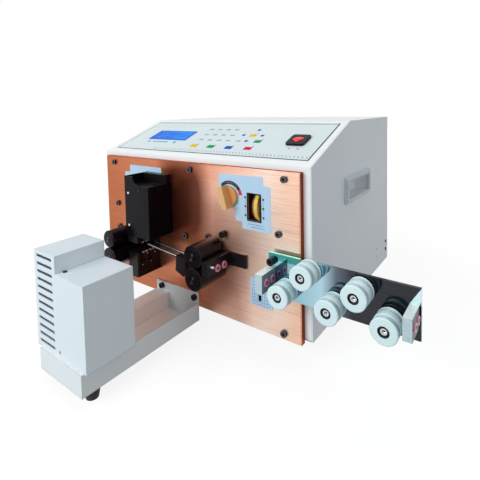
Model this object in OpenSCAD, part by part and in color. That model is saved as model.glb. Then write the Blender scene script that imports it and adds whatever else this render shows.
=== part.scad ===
// Bench-top wire stripping machine: two wires run side by side along X, from the right end
// (straightener) through the inlet rollers, the swinging guide tubes, the cutter and the outlet
// rollers. A twisting unit stands on a sheet arm in front of the outlet.
// X runs to the right, Y to the back and Z up. The origin is on the bench under the middle of
// the whole machine. The modules measure X from the housing's left side, Y from its front face
// and Z from the bench, and placed() moves them.

/* [Housing] */
// Width of the housing
body_w = 440; // [430:1:520]
// Depth of the housing
body_d = 352; // [330:1:450]
// Height of the flat top above the housing's bottom
body_h = 290; // [270:1:360]
// Height of the front face above the housing's bottom
front_h = 235; // [232:1:250]
// Depth over which the control slope rises
slope_d = 143; // [120:1:200]
// Height of the rubber feet
foot_h = 45; // [38:1:60]
// Radius of the rubber feet
foot_r = 19; // [14:1:25]
// How far the feet stand in from the housing's sides
foot_inset = 62; // [50:1:90]
// Thickness of the housing's sheet metal
sheet_t = 2; // [1.2:0.1:3]

/* [Front plate] */
// Thickness of the front plate
plate_t = 10; // [6:0.5:14]
// Width of the housing's front that shows beside the plate
plate_margin = 12; // [8:1:16]
// Height of the housing's front that shows above the plate
plate_top_gap = 7; // [4:0.5:9]
// How far the plate hangs below the housing
plate_drop = 4; // [0:0.5:8]
// Radius of the cap screws in the plate
cap_r = 4.8; // [3.5:0.1:5.5]

/* [Wire path] */
// Height of the wires above the housing's bottom
wire_rise = 88; // [84:0.5:92]
// Distance from the plate's front to the middle of the two wires
wire_reach = 26.5; // [26:0.5:29]
// Distance between the two wires
wire_pitch = 15; // [14:0.5:15.5]
// Radius of the hole in a ceramic eyelet
eyelet_bore_r = 2.6; // [2:0.1:2.8]
// Radius of an eyelet's flange
eyelet_r = 5.6; // [5:0.1:5.8]

/* [Feed rollers] */
// Radius of the inlet rollers
inlet_r = 16.5; // [15:0.5:17]
// Share of the housing's width at which the inlet rollers stand
inlet_share = 0.651; // [0.646:0.001:0.656]
// Length of the inlet rollers
inlet_len = 47; // [42:0.5:52]
// Radius of the upper outlet roller
outlet_r = 14; // [12:0.5:14.5]
// Radius of the lower outlet roller
outlet_low_r = 16.5; // [13:0.5:17]
// Share of the housing's width at which the outlet rollers stand
outlet_share = 0.257; // [0.241:0.001:0.259]
// Length of the upper outlet roller
outlet_len = 63; // [45:0.5:64]
// Gap between the two rollers of a pair
nip_gap = 0.6; // [0.4:0.1:1.2]
// Radius of the roller shafts
shaft_r = 5; // [4:0.1:6]
// Lift of the upper roller
roller_lift = 4; // [2:0.5:5]

/* [Cutter] */
// Width of the cutter cover
cover_w = 58; // [56:0.5:60]
// Depth of the cutter cover in front of the plate
cover_d = 50; // [49:0.5:55]
// Height of the cover's right wall
cover_h = 84; // [80:0.5:92]
// Height of the raised ear at the cover's left
ear_h = 14.5; // [8:0.5:20]
// Width of the raised ear
ear_w = 20; // [12:0.5:24]
// Thickness of the cover's sheet
cover_t = 1.5; // [1:0.1:2]
// Width of a blade holder
holder_w = 23; // [20:0.5:24]
// Travel of each blade holder
blade_travel = 7; // [4:0.5:8]
// Thickness of a blade
blade_t = 1.6; // [1:0.1:2]
// Width of a blade
blade_w = 11; // [9:0.5:11.5]

/* [Guide tubes] */
// Outer radius of a guide tube
tube_r = 2.4; // [2:0.1:2.8]
// Inner radius of a guide tube
tube_bore_r = 1.7; // [1.2:0.1:1.7]
// Gap between the blades and the tubes' left ends
tube_end_gap = 5; // [4:0.5:16]
// Tilt of the tubes where they rest
tube_tilt = 5.5; // [3:0.5:6]

/* [Straightener] */
// Length of the polished plate
sp_len = 189.5; // [188:0.5:260]
// Height of the polished plate
sp_h = 58; // [57:1:64]
// Thickness of the polished plate
sp_t = 4; // [3:0.5:5]
// Share of the housing's width at which the plate's left end stands
sp_share = 0.877; // [0.873:0.001:0.886]
// Radius of the straightening rollers
sr_r = 15; // [13:0.5:15.5]
// Distance between neighbouring rollers
sr_pitch = 32.3; // [31.5:0.1:32.6]
// Depth of a roller's grooves
groove_depth = 3.5; // [1.5:0.1:4]
// Thickness of the inner guide block
block_t = 11; // [8:0.5:12]
// Thickness of the outer guide block
block_out_t = 9.5; // [7:0.5:10]
// Height of a guide block
block_h = 24.5; // [20:0.5:26]
// Depth of a guide block
block_d = 33; // [28:0.5:34]

/* [Controls] */
// Radius of the mode knob
knob_r = 15; // [12:0.5:16]
// Height of the mode knob's grip bar
knob_bar_h = 13; // [8:0.5:16]
// Radius of the thumbwheel
wheel_r = 23; // [20:0.5:24]
// Width of the thumbwheel
wheel_w = 8; // [6:0.5:9]
// Distance from the housing's sides to the membrane board
board_margin = 11.5; // [10:0.5:15]
// Length of the membrane board along the slope
board_len = 128; // [124:1:130]
// Width of the rocker switch's bezel
switch_w = 31; // [28:1:34]
// Length of the rocker switch's bezel
switch_len = 33; // [28:1:36]
// Radius of the round rocker
rocker_r = 8.6; // [7:0.2:9.6]

/* [Twisting unit] */
// Width of the twister cover
box_w = 114; // [110:1:124]
// Depth of the twister cover
box_d = 71; // [70:1:90]
// Height of the cover's lower part
box_h = 108; // [104:1:125]
// Width of the cover's raised part
rise_w = 52; // [46:1:60]
// Height of the raised part above the lower part
rise_h = 22.5; // [14:0.5:30]
// Number of vent slots
vents = 12; // [6:1:12]
// Distance from the housing's front to the cover's front
box_reach = 211; // [210:1:240]
// Width of the arm's tray
tray_w = 97; // [94:1:99]
// Height of the arm's walls
tray_h = 28.5; // [26:0.5:29]
// Width of the ledge on the arm's left
ledge_w = 30; // [24:1:34]

/* [Hidden] */
$fn = 64;

// Overrun of every cut
over = 1;
// Radial clearance of a running fit
fit = 0.05;
// Gap between bodies that slide or seat on each other
seat = 0.3;

// Housing
bottom_z = foot_h;
front_z = foot_h + front_h;
top_z = foot_h + body_h;
slope_angle = atan2(body_h - front_h, slope_d);
slope_len = norm([body_h - front_h, slope_d]);
cover_lip = 6;
frame_border = 24;
foot_taper = 3;

// Front plate
plate_w = body_w - 2 * plate_margin;
plate_z = bottom_z - plate_drop;
plate_h = front_h + plate_drop - plate_top_gap;
plate_y = -plate_t;
plate_chamfer = 1;
inlet_screw_gap = 17.5;

// Wires
wire_z = bottom_z + wire_rise;
wire_y = plate_y - wire_reach;
wire_ys = [wire_y - wire_pitch / 2, wire_y + wire_pitch / 2];

// Feed rollers
inlet_x = body_w * inlet_share;
outlet_x = body_w * outlet_share;
inlet_axis = inlet_r + nip_gap / 2;
outlet_axis = outlet_r + nip_gap / 2;
outlet_low_axis = outlet_low_r + nip_gap / 2;
carriage_t = 8;
carriage_w = 22;
carriage_h = 24;
carriage_tongue_w = 2 * shaft_r + 3;
roller_edge = 1;
nut_r = 6;
nut_h = 1.6;
gear_t = 8;
pair_teeth = 50;
gear_gap = 6;
tooth_h = 2;
tooth_clear = 0.5;
shaft_tail = 4;

// Cutter
cover_share = 0.3;
cover_x = body_w * cover_share;
cover_z = wire_z + 20;
cover_y = plate_y - cover_d;
bracket_t = 12;
bracket_top = 14;
bracket_back = 3;
holder_x = cover_x + cover_t + seat;
upper_holder_h = 54;
lower_holder_h = 40.5;
blade_gap = 1;
blade_h = 24;
notch_w = 5;
notch_h = 5;
clamp_r = 3;
clamp_h = 2.4;
cover_screw_r = 1.9;
cover_screw_h = 0.9;
bracket_low = blade_gap + blade_travel + lower_holder_h;
pinion_r = 5;
pinion_teeth = 10;
pinion_rise = 48;
pinion_t = 6;
pinion_tooth = 1.5;
pinion_gap = 1;
rack_back = 4.5;
rack_t = 7;
rack_reach = 12;
pinion_shaft_r = 2.5;

// Guide tubes
holder_block_w = 20;
holder_block_d = 26;
holder_block_h = 24;
tube_gap = 14;
tube_nose = 8;
tube_low = 2;
tube_z = wire_z - tube_low;
holder_edge = 3;
pivot_r = 3;
pivot_drop = 9;

// Inlet guide bar
bar_t = 10;
bar_gap = 1.5;
bar_h = 20;
bar_len = 56;
bar_foot_w = 28;
bar_foot_t = 4;
bar_drop = 6;
bar_pin_r = 1.8;
bar_pin_back = 6.5;
bar_pin_top = 7;
bar_pin_proud = 6;
foot_screw_r = 2.4;
foot_screw_h = 1.6;
foot_screw_gap = 6;
foot_screw_step = 10;
eyelet_body_r = 4;
eyelet_flange = 1.6;
eyelet_fit = 0.1;

// Pressure knob
press_r = 5;
press_len = 10;
press_x = 16;
press_rise = 38.5;

// Straightener
sp_x = body_w * sp_share;
sp_gap = 7;
sp_front = plate_y - sp_gap - sp_t;
sp_low = 27;
sr_gap = 1.5;
sr_len = 28.5;
sr_first = 29.5;
sr_count = 5;
wire_seat = 0.5;
lift_first = 8.5;
lift_last = 2.4;
groove_w = 8;
land_bottom = 3;
counterbore_r = 6.4;
counterbore_d = 6.5;
bolt_r = 3;
bolt_head_r = 4.6;
bolt_head_h = 5;
bolt_nut_r = 5.2;
bolt_nut_h = 4;
slot_len = 14;
block_over = 1;
block_in_x = sp_x - block_over;
block_out_gap = 2;
mount_spacer_r = 6;
knob_bolt_r = 5.2;
knob_bolt_h = 7;
mount_top = 47;
mount_low = 8;
mount_x = 5.5;
mount_slot = 10;
mount_shank_r = 3;

// Handles
grip_y = 173;
grip_len = 118;
grip_h = 44;
grip_rise = 182;
grip_proud = 5;
grip_rim = 7;
grip_cup_d = 24;
grip_wall = 1.5;
grip_mouth_share = 0.62;
grip_r = 6;

// Side panel holes
vent_hole_r = 2.6;
vent_hole_back = 13;
vent_hole_y = body_d - vent_hole_back;
vent_hole_rises = [37, 21.5];
tiny_hole_r = 1.3;
tiny_hole_back = 73;
tiny_hole_y = body_d - tiny_hole_back;
tiny_hole_rises = [40, 25.5];

// Control slope
board_w = body_w - 2 * board_margin;
board_t = 3;
board_sink = 1;
board_low = 15.5;
lcd_w = 100;
lcd_len = 38;
lcd_share = 0.11;
lcd_x = board_w * lcd_share;
lcd_s = 46;
lcd_t = 0.8;
key_w = 10;
key_len = 8;
key_t = 0.5;
arrow_len = 5.5;
arrow_share = 0.671;
arrow_x = board_w * arrow_share;
arrow_s = 75.5;
arrow_dx = 19;
arrow_ds = 22;
run_dx = 22;
colour_share = 0.441;
colour_x = board_w * colour_share;
colour_s = 28;
colour_pitch = 38.4;
colour_w = 13;
colour_len = 9;
switch_share = 0.839;
switch_x = body_w * switch_share;
switch_s = 60;
bezel_rim = 3;
bezel_proud = 2.5;
bezel_depth = 14;
bezel_r = 4.5;
rocker_gap = 0.6;
rocker_proud = 2;
rocker_dome_r = 24;
rocker_depth = 8;
rocker_pin_r = 1.5;
rocker_pin_len = 2;
rocker_tilt = 6;

// Knob and thumbwheel
knob_share = 0.711;
knob_x = body_w * knob_share;
knob_rise = 184.5;
knob_base = 6;
knob_bar_w = 9;
knob_bar_over = 1.6;
knob_turn = 16;
knob_shaft_r = 3;
window_share = 0.785;
window_x = body_w * window_share;
window_w = 21.5;
window_h = 38;
window_rise = 154;
wheel_proud = 4.5;
wheel_ribs = 36;
wheel_rib_r = 0.9;
wheel_side = 3.2;
axle_r = 2.5;
axle_ear = 3;
wheel_pocket = 7;
wheel_clear = 1;
scale_slot_share = 0.82;
scale_slot_x = body_w * scale_slot_share;
scale_slot_w = 5;
scale_slot_h = 9;
scale_slot_rise = 39;

// Twisting unit
box_share = 0.311;
box_x = body_w * box_share;
box_t = 1.5;
box_lip = 9;
box_front_lip = 6;
tray_t = 2;
tray_inset = 11;
tray_x = box_x + tray_inset;
tray_drop = 26.5;
tray_front = 3.5;
tray_y = -box_reach - tray_front;
tray_top = bottom_z - tray_drop + tray_h;
end_plate_h = 44.5;
end_hole_r = 3.2;
slot_h = 3.6;
vent_w = 38;
vent_top = 7;
vent_low = 8;
vent_pitch = (box_h + rise_h - vent_low - vent_top) / (vents - 1);
vent_side = 6;
bolt_rise = 37.5;
arm_foot_r = 11;
arm_foot_rim = 3;
arm_foot_back = 20;
arm_foot_side = 17;
arm_foot_step = 39;
motor_w = 42;
motor_len = 40;
spindle_z = wire_z - 8;
spindle_r = 4;
head_r = 9;
head_len = 24;
head_slot = 4;
head_gap = 10;
bracket_sheet = 3;
bracket_foot = 24;

// Inner pieces
step_w = 57;
step_len = 76;
cutter_step_w = 42;
cutter_step_len = 48;
step_shaft = 12;
pillar_r = 3;
pillar_share = 0.41;
pillar_len = 26;
supply_w = 110;
supply_h = 50;
supply_share = 0.682;
supply_x = body_w * supply_share;
supply_y = 120;
supply_back = 32;
supply_d = body_d - supply_y - supply_back;
pcb_w = 190;
pcb_h = 130;
pcb_t = 2;
pcb_y = 46;
pcb_share = 0.136;
pcb_x = body_w * pcb_share;
pcb_stand = 10;
socket_w = 50;
socket_h = 28;
fan_r = 32;
fan_rings = 4;

module span(xs, ys, zs) {
    translate([xs[0], ys[0], zs[0]]) cube([xs[1] - xs[0], ys[1] - ys[0], zs[1] - zs[0]]);
}

// A round bar along Y between two depths
module bar_y(r, ys) {
    translate([0, ys[1], 0]) rotate([90, 0, 0]) cylinder(r = r, h = ys[1] - ys[0]);
}

// A round bar along X between two places
module bar_x(r, xs) {
    translate([xs[0], 0, 0]) rotate([0, 90, 0]) cylinder(r = r, h = xs[1] - xs[0]);
}

// A bar along Y with chamfered ends
module edged_bar_y(r, ys, edge) {
    translate([0, ys[1], 0]) rotate([90, 0, 0]) rotate_extrude()
        polygon([[0, 0], [r - edge, 0], [r, edge], [r, ys[1] - ys[0] - edge],
            [r - edge, ys[1] - ys[0]], [0, ys[1] - ys[0]]]);
}

// A flat shape in X and Z made solid between two depths
module plate_y_shape(ys) {
    translate([0, ys[1], 0]) rotate([90, 0, 0]) linear_extrude(ys[1] - ys[0]) children();
}

// A flat shape in Y and Z made solid between two places along X
module plate_x_shape(xs) {
    translate([xs[0], 0, 0]) rotate([90, 0, 90]) linear_extrude(xs[1] - xs[0]) children();
}

module round_rect(w, h, r) {
    union() {
        translate([r, 0]) square([w - 2 * r, h]);
        translate([0, r]) square([w, h - 2 * r]);
        for (x = [r, w - r], y = [r, h - r]) translate([x, y]) circle(r);
    }
}

// Puts a piece on the control slope: X along the front, Y up the slope, Z out of it
module on_slope(x, s) {
    translate([x, 0, front_z]) rotate([slope_angle, 0, 0]) translate([0, s, 0]) children();
}

// A vertical slot with round ends
module slot_shape(r, h) {
    translate([-r, r - h / 2]) square([2 * r, h - 2 * r]);
    for (side = [-1, 1]) translate([0, side * (h / 2 - r)]) circle(r);
}

// The housing's outline seen from the right
module side_outline() {
    polygon([[0, bottom_z], [body_d, bottom_z], [body_d, top_z], [slope_d, top_z],
        [0, front_z]]);
}

module side_panel(xs) {
    color("gainsboro") difference() {
        plate_x_shape(xs) side_outline();
        span([xs[0] - over, xs[1] + over], [grip_y - grip_len / 2 + grip_rim,
            grip_y + grip_len / 2 - grip_rim], [bottom_z + grip_rise - grip_h / 2 + grip_rim / 2,
            bottom_z + grip_rise + grip_h / 2 - grip_rim / 2]);
        for (rise = vent_hole_rises) translate([0, vent_hole_y, bottom_z + rise])
            bar_x(vent_hole_r, [xs[0] - over, xs[1] + over]);
        for (i = [0, 1]) translate([0, tiny_hole_y, bottom_z + tiny_hole_rises[i]])
            bar_x(tiny_hole_r, [xs[0] - over, xs[1] + over]);
    }
}

module side_panel_left() side_panel([0, sheet_t]);

module side_panel_right() side_panel([body_w - sheet_t, body_w]);

// The bent sheet: a lip over the front frame, the slope and the flat top, with the opening for
// the membrane board
module top_cover() {
    slope_sheet = sheet_t / cos(slope_angle);
    lip_top = front_z - slope_sheet + sheet_t * tan(slope_angle);
    bend_y = slope_d + (slope_sheet - sheet_t) / tan(slope_angle);
    color("whitesmoke") difference() {
        plate_x_shape([sheet_t, body_w - sheet_t]) polygon([[0, front_z - cover_lip],
            [0, front_z], [slope_d, top_z], [body_d - sheet_t, top_z],
            [body_d - sheet_t, top_z - sheet_t], [bend_y, top_z - sheet_t],
            [sheet_t, lip_top], [sheet_t, front_z - cover_lip]]);
        on_slope(board_margin, board_low)
            translate([0, 0, -board_t - board_sink])
                cube([board_w, board_len, board_t + board_sink + over]);
    }
}

// The front frame that shows round the thick plate
module front_frame() {
    color("whitesmoke") difference() {
        span([sheet_t, body_w - sheet_t], [0, sheet_t],
            [bottom_z + sheet_t, front_z - cover_lip]);
        span([plate_margin + frame_border, body_w - plate_margin - frame_border],
            [-over, sheet_t + over], [bottom_z + frame_border, front_z - frame_border]);
    }
}

module rear_panel() {
    color("gainsboro") difference() {
        span([sheet_t, body_w - sheet_t], [body_d - sheet_t, body_d],
            [bottom_z + sheet_t, top_z]);
        for (i = [0 : vents - 1])
            translate([body_w / 4, 0, top_z - body_h / 4 - i * vent_pitch])
                plate_y_shape([body_d - sheet_t - over, body_d + over])
                    rotate(90) slot_shape(slot_h / 2, 2 * vent_w);
        translate([body_w * 3 / 4, 0, top_z - body_h / 3])
            bar_y(fan_r, [body_d - sheet_t - over, body_d + over]);
        span([body_w / 4 - socket_w / 2, body_w / 4 + socket_w / 2],
            [body_d - sheet_t - over, body_d + over],
            [bottom_z + socket_h, bottom_z + 2 * socket_h]);
    }
    color("dimgray") rear_fittings();
}

// The fan guard's rings and the power inlet, which fill the rear panel's openings
module rear_fittings() {
    translate([body_w * 3 / 4, 0, top_z - body_h / 3]) {
        for (k = [1 : fan_rings]) difference() {
            bar_y(fan_r * k / fan_rings, [body_d - sheet_t, body_d]);
            bar_y(fan_r * k / fan_rings - sheet_t, [body_d - sheet_t - over, body_d + over]);
        }
        for (a = [0, 90]) rotate([0, a, 0])
            span([-fan_r + sheet_t / 2, fan_r - sheet_t / 2], [body_d - sheet_t, body_d],
                [-sheet_t / 2, sheet_t / 2]);
    }
    difference() {
        span([body_w / 4 - socket_w / 2, body_w / 4 + socket_w / 2],
            [body_d - socket_h, body_d + sheet_t], [bottom_z + socket_h, bottom_z + 2 * socket_h]);
        span([body_w / 4 - socket_w / 3, body_w / 4 + socket_w / 3],
            [body_d - socket_h / 2, body_d + sheet_t + over],
            [bottom_z + socket_h * 5 / 4, bottom_z + socket_h * 7 / 4]);
    }
}

module base_plate() {
    color("gainsboro") span([sheet_t, body_w - sheet_t], [0, body_d],
        [bottom_z, bottom_z + sheet_t]);
}

module housing_feet() {
    color("#26262a") for (x = [foot_inset, body_w - foot_inset],
            y = [foot_inset + foot_r, body_d - foot_inset])
        translate([x, y, 0]) cylinder(r1 = foot_r - foot_taper, r2 = foot_r, h = foot_h);
}

// A recessed grip: a rim proud of the side, a hood over the mouth and a cup behind it.
// It is drawn for the right side, and mirrored for the left.
module grip() {
    cup_y = grip_len / 2 - grip_rim - seat;
    cup_z = grip_h / 2 - grip_rim / 2 - seat;
    mouth_low = -grip_h / 2 + grip_rim;
    mouth_high = mouth_low + grip_h * grip_mouth_share;
    difference() {
        union() {
            plate_x_shape([0, grip_proud / 2]) translate([-grip_len / 2, -grip_h / 2])
                round_rect(grip_len, grip_h, grip_r);
            plate_x_shape([0, grip_proud])
                translate([-grip_len / 2 + grip_rim / 2, -grip_h / 2 + grip_rim / 2])
                    round_rect(grip_len - grip_rim, grip_h - grip_rim, grip_r / 2);
            span([-grip_cup_d, over], [-cup_y, cup_y], [-cup_z, cup_z]);
        }
        span([-grip_cup_d + grip_wall, 0], [-cup_y + grip_wall, cup_y - grip_wall],
            [-cup_z + grip_wall, cup_z - grip_wall]);
        span([-over, grip_proud + over], [-grip_len / 2 + grip_rim * 3 / 2,
            grip_len / 2 - grip_rim * 3 / 2], [mouth_low, mouth_high]);
        // The hood's slope above the mouth
        translate([0, -grip_len / 2 + grip_rim * 3 / 2, mouth_high]) rotate([90, 0, 180])
            linear_extrude(grip_len - 3 * grip_rim) mirror([1, 0])
                polygon([[grip_proud / 2, grip_h / 2 - mouth_high - grip_rim],
                    [grip_proud + over, -over], [grip_proud + over,
                    grip_h / 2 - mouth_high - grip_rim]]);
    }
}

module handle_right() {
    color("silver") translate([body_w, grip_y, bottom_z + grip_rise]) grip();
}

module handle_left() {
    color("silver") translate([0, grip_y, bottom_z + grip_rise]) mirror([1, 0, 0]) grip();
}

inlet_screw_share = (inlet_x - inlet_screw_gap - plate_margin) / plate_w;
plate_screw_x_shares = [0.061, 0.079, 0.085, 0.531, 0.945, 0.922, 0.937, 0.499,
    inlet_screw_share, 0.06];
plate_screw_z_shares = [0.951, 0.617, 0.426, 0.954, 0.956, 0.629, 0.039, 0.481, 0.516, 0.039];

function plate_screw(i) = [plate_margin + plate_w * plate_screw_x_shares[i],
    plate_z + plate_h * plate_screw_z_shares[i]];

// The thick front plate with every hole that a shaft, tongue or wheel needs
module front_plate() {
    color("#d98f66") difference() {
        union() {
            span([plate_margin, body_w - plate_margin], [plate_y + plate_chamfer, 0],
                [plate_z, plate_z + plate_h]);
            span([plate_margin + plate_chamfer, body_w - plate_margin - plate_chamfer],
                [plate_y, 0], [plate_z + plate_chamfer, plate_z + plate_h - plate_chamfer]);
        }
        span([window_x, window_x + window_w], [plate_y - over, over],
            [bottom_z + window_rise, bottom_z + window_rise + window_h]);
        span([wheel_x - wheel_w / 2 - wheel_clear, wheel_x + wheel_w / 2 + wheel_clear],
            [plate_y + plate_t - wheel_pocket, over],
            [wheel_z - wheel_r - wheel_clear, wheel_z + wheel_r + wheel_clear]);
        span([scale_slot_x, scale_slot_x + scale_slot_w], [plate_y - over, over],
            [bottom_z + scale_slot_rise, bottom_z + scale_slot_rise + scale_slot_h]);
        translate([knob_x, 0, bottom_z + knob_rise])
            bar_y(knob_shaft_r + fit, [plate_y - over, over]);
        for (p = [[inlet_x, inlet_axis, inlet_axis], [outlet_x, outlet_low_axis, outlet_axis]]) {
            translate([p[0], 0, wire_z - p[1]]) bar_y(shaft_r + fit, [plate_y - over, over]);
            translate([p[0], 0, wire_z + p[2] + roller_lift / 2])
                plate_y_shape([plate_y - over, over])
                    slot_shape(carriage_tongue_w / 2 + fit,
                        carriage_tongue_w + 2 * fit + roller_lift + 2 * seat);
        }
        translate([inlet_x + press_x, 0, wire_z + press_rise])
            bar_y(knob_shaft_r + fit, [plate_y - over, over]);
        translate([pivot_x, 0, tube_z - pivot_drop])
            bar_y(pivot_r + fit, [plate_y - over, over]);
        translate([pinion_x, 0, pinion_z])
            bar_y(pinion_shaft_r + fit, [plate_y - over, over]);
    }
}

module cap_screw(r, head_h) {
    difference() {
        bar_y(r, [-head_h, 0]);
        rotate([90, 0, 0]) translate([0, 0, head_h / 2])
            cylinder(r = r / 2, h = head_h, $fn = 6);
    }
}

module plate_screws() {
    color("#1c1c20") for (i = [0 : len(plate_screw_x_shares) - 1])
        translate([plate_screw(i)[0], plate_y, plate_screw(i)[1]])
            cap_screw(cap_r, cap_r * 2 / 3);
}

module membrane_board() {
    color("#dfe9e8") difference() {
        on_slope(board_margin + seat, board_low + seat)
            translate([0, 0, -board_t - board_sink])
                cube([board_w - 2 * seat, board_len - 2 * seat, board_t]);
        on_switch() translate([0, 0, -board_t - board_sink - over])
            linear_extrude(board_t + 2 * over) bezel_shape(bezel_rim - seat);
    }
}

// Puts a piece on the membrane board's face
module on_board(x, s) {
    on_slope(board_margin + x, board_low + s) translate([0, 0, -board_sink])
        children();
}

// Puts a piece on the board with the rocker switch's middle as its origin
module on_switch() {
    on_slope(switch_x + switch_w / 2, switch_s + switch_len / 2) children();
}

module display_window() {
    color("#2f7ff0") on_board(lcd_x, lcd_s) cube([lcd_w, lcd_len, lcd_t]);
}

// A low pad of the membrane keyboard about its own middle
module key(w, l) {
    translate([-w / 2, -l / 2]) linear_extrude(key_t) round_rect(w, l, key_t * 2);
}

module key_pads() {
    color("#2f6fd0") for (a = [[0, 1], [-1, 0], [1, 0], [0, -1]])
        on_board(arrow_x + a[0] * arrow_dx, arrow_s + a[1] * arrow_ds)
            key(arrow_len, arrow_len);
    color("#f0cc30") on_board(arrow_x, arrow_s) key(key_w, key_len);
    color("#2aa56a") on_board(arrow_x + run_dx, arrow_s - arrow_ds) key(key_w, key_len);
    colours = ["#f0cc30", "#2aa56a", "#2f6fd0", "#d8324a"];
    for (i = [0 : len(colours) - 1]) color(colours[i])
        on_board(colour_x + i * colour_pitch, colour_s) key(colour_w, colour_len);
}

// The bezel's outline, drawn in by the inset
module bezel_shape(inset) {
    translate([inset - switch_w / 2, inset - switch_len / 2])
        round_rect(switch_w - 2 * inset, switch_len - 2 * inset, bezel_r);
}

module switch_bezel() {
    color("#18181a") on_switch() difference() {
        union() {
            translate([0, 0, -board_sink]) linear_extrude(bezel_proud + board_sink)
                bezel_shape(0);
            translate([0, 0, -bezel_depth]) linear_extrude(bezel_depth)
                bezel_shape(bezel_rim);
        }
        translate([0, 0, -bezel_depth + sheet_t])
            cylinder(r = rocker_r + rocker_gap, h = bezel_depth + bezel_proud);
        translate([0, 0, bezel_proud - rocker_depth / 2])
            bar_x(rocker_pin_r + fit, [-rocker_r - rocker_pin_len - seat,
                rocker_r + rocker_pin_len + seat]);
    }
}

// The round rocker with its pin. Its sides are trimmed round the pin so that it can tip.
module power_rocker() {
    color("#d81e28") on_switch() translate([0, 0, bezel_proud - rocker_depth / 2])
            rotate([-rocker_tilt, 0, 0]) {
        intersection() {
            translate([0, 0, -rocker_depth / 2])
                cylinder(r = rocker_r, h = 2 * rocker_depth);
            bar_x(rocker_r + rocker_gap / 2, [-rocker_r, rocker_r]);
            translate([0, 0, rocker_depth / 2 + rocker_proud - rocker_dome_r])
                sphere(rocker_dome_r);
        }
        bar_x(rocker_pin_r, [-rocker_r - rocker_pin_len, rocker_r + rocker_pin_len]);
    }
}

module mode_knob() {
    color("#e6ad6a") translate([knob_x, plate_y - seat, bottom_z + knob_rise])
            rotate([0, -knob_turn, 0]) {
        edged_bar_y(knob_r, [-knob_base, 0], roller_edge);
        span([-knob_bar_w / 2, knob_bar_w / 2], [-knob_base - knob_bar_h, -knob_base + over],
            [-knob_r - knob_bar_over, knob_r + knob_bar_over]);
    }
    color("silver") translate([knob_x, 0, bottom_z + knob_rise])
        bar_y(knob_shaft_r, [plate_y - seat - over, pillar_len]);
}

wheel_x = window_x + window_w / 2 + wheel_side;
wheel_yc = plate_y - wheel_proud + wheel_r;
wheel_z = bottom_z + window_rise + window_h / 2;

module thumbwheel() {
    color("#f2d25c") translate([0, wheel_yc, wheel_z]) difference() {
        bar_x(wheel_r, [wheel_x - wheel_w / 2, wheel_x + wheel_w / 2]);
        bar_x(axle_r + fit, [wheel_x - wheel_w, wheel_x + wheel_w]);
        for (i = [0 : wheel_ribs - 1]) rotate([i * 360 / wheel_ribs, 0, 0])
            translate([0, 0, wheel_r + wheel_rib_r / 2])
                bar_x(wheel_rib_r, [wheel_x - wheel_w, wheel_x + wheel_w]);
    }
}

// The bracket behind the front plate that carries the thumbwheel's axle
module thumbwheel_bracket() {
    left = wheel_x - wheel_w / 2 - wheel_clear - axle_ear;
    right = wheel_x + wheel_w / 2 + wheel_clear + axle_ear;
    back = wheel_yc + wheel_r + axle_ear;
    half_h = wheel_r + 2 * axle_ear;
    color("silver") translate([0, 0, wheel_z]) {
        for (x = [left, right - axle_ear])
            span([x, x + axle_ear], [0, back], [-half_h, half_h]);
        span([left, right], [back, back + axle_ear], [-half_h, half_h]);
        translate([0, wheel_yc, 0]) bar_x(axle_r, [left, right]);
    }
}

// A flat gear outline with straight flanks, turned by half a tooth where asked. Each tooth is
// drawn by shares of the tooth's step.
tooth_shares = [-0.25, -0.13, 0.13, 0.25];

module gear_shape(pitch_r, teeth, tooth, turned) {
    step = 360 / teeth;
    inner = pitch_r - tooth / 2 - tooth_clear;
    outer = pitch_r + tooth / 2;
    polygon([for (i = [0 : teeth - 1], k = [0 : len(tooth_shares) - 1])
        let (a = (i + tooth_shares[k] + (turned ? 0.5 : 0)) * step,
            r = (k == 1 || k == 2) ? outer : inner) [r * cos(a), r * sin(a)]]);
}

// The teeth of a roller's gear, its share of the pair's teeth. The gears of a pair differ as
// its rollers do.
function gear_teeth(axis_gap, other_gap) = round(pair_teeth * axis_gap / (axis_gap + other_gap));

// A feed roller with its shaft, end nut and drive gear. Its axis is Y through the local origin.
module feed_roller(r, length, back, axis_gap, teeth, turned, tail) {
    front = back - length;
    color("#222228") difference() {
        union() {
            edged_bar_y(r, [front, back], roller_edge);
            bar_y(r * 3 / 4, [front - nut_h / 2, front + over]);
        }
        bar_y(nut_r + seat, [front - over, front]);
    }
    color("#3a3a40") translate([0, front, 0]) rotate([90, 0, 0])
        cylinder(r = nut_r, h = nut_h, $fn = 6);
    color("silver") bar_y(shaft_r, [back - over, tail]);
    color("silver") plate_y_shape([gear_gap, gear_gap + gear_t]) rotate(90)
        gear_shape(axis_gap, teeth, tooth_h, turned);
}

module lower_roller(x, r, length, axis_gap, other_gap) {
    translate([x, 0, wire_z - axis_gap])
        feed_roller(r, length + carriage_t + seat, plate_y - seat, axis_gap,
            gear_teeth(axis_gap, other_gap), false, pillar_len + step_shaft);
}

// An upper roller. Its gear has a gap at the bottom, where the lower gear has a tooth.
module upper_roller(x, r, length, axis_gap, other_gap) {
    teeth = gear_teeth(axis_gap, other_gap);
    translate([x, 0, wire_z + axis_gap])
        feed_roller(r, length, plate_y - 2 * seat - carriage_t, axis_gap, teeth,
            teeth % 2 == 0, gear_gap + gear_t + shaft_tail);
}

module inlet_lower_roller() lower_roller(inlet_x, inlet_r, inlet_len, inlet_axis, inlet_axis);

module inlet_upper_roller() upper_roller(inlet_x, inlet_r, inlet_len, inlet_axis, inlet_axis);

module outlet_lower_roller() {
    lower_roller(outlet_x, outlet_low_r, outlet_len, outlet_low_axis, outlet_axis);
}

module outlet_upper_roller() {
    upper_roller(outlet_x, outlet_r, outlet_len, outlet_axis, outlet_low_axis);
}

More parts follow.
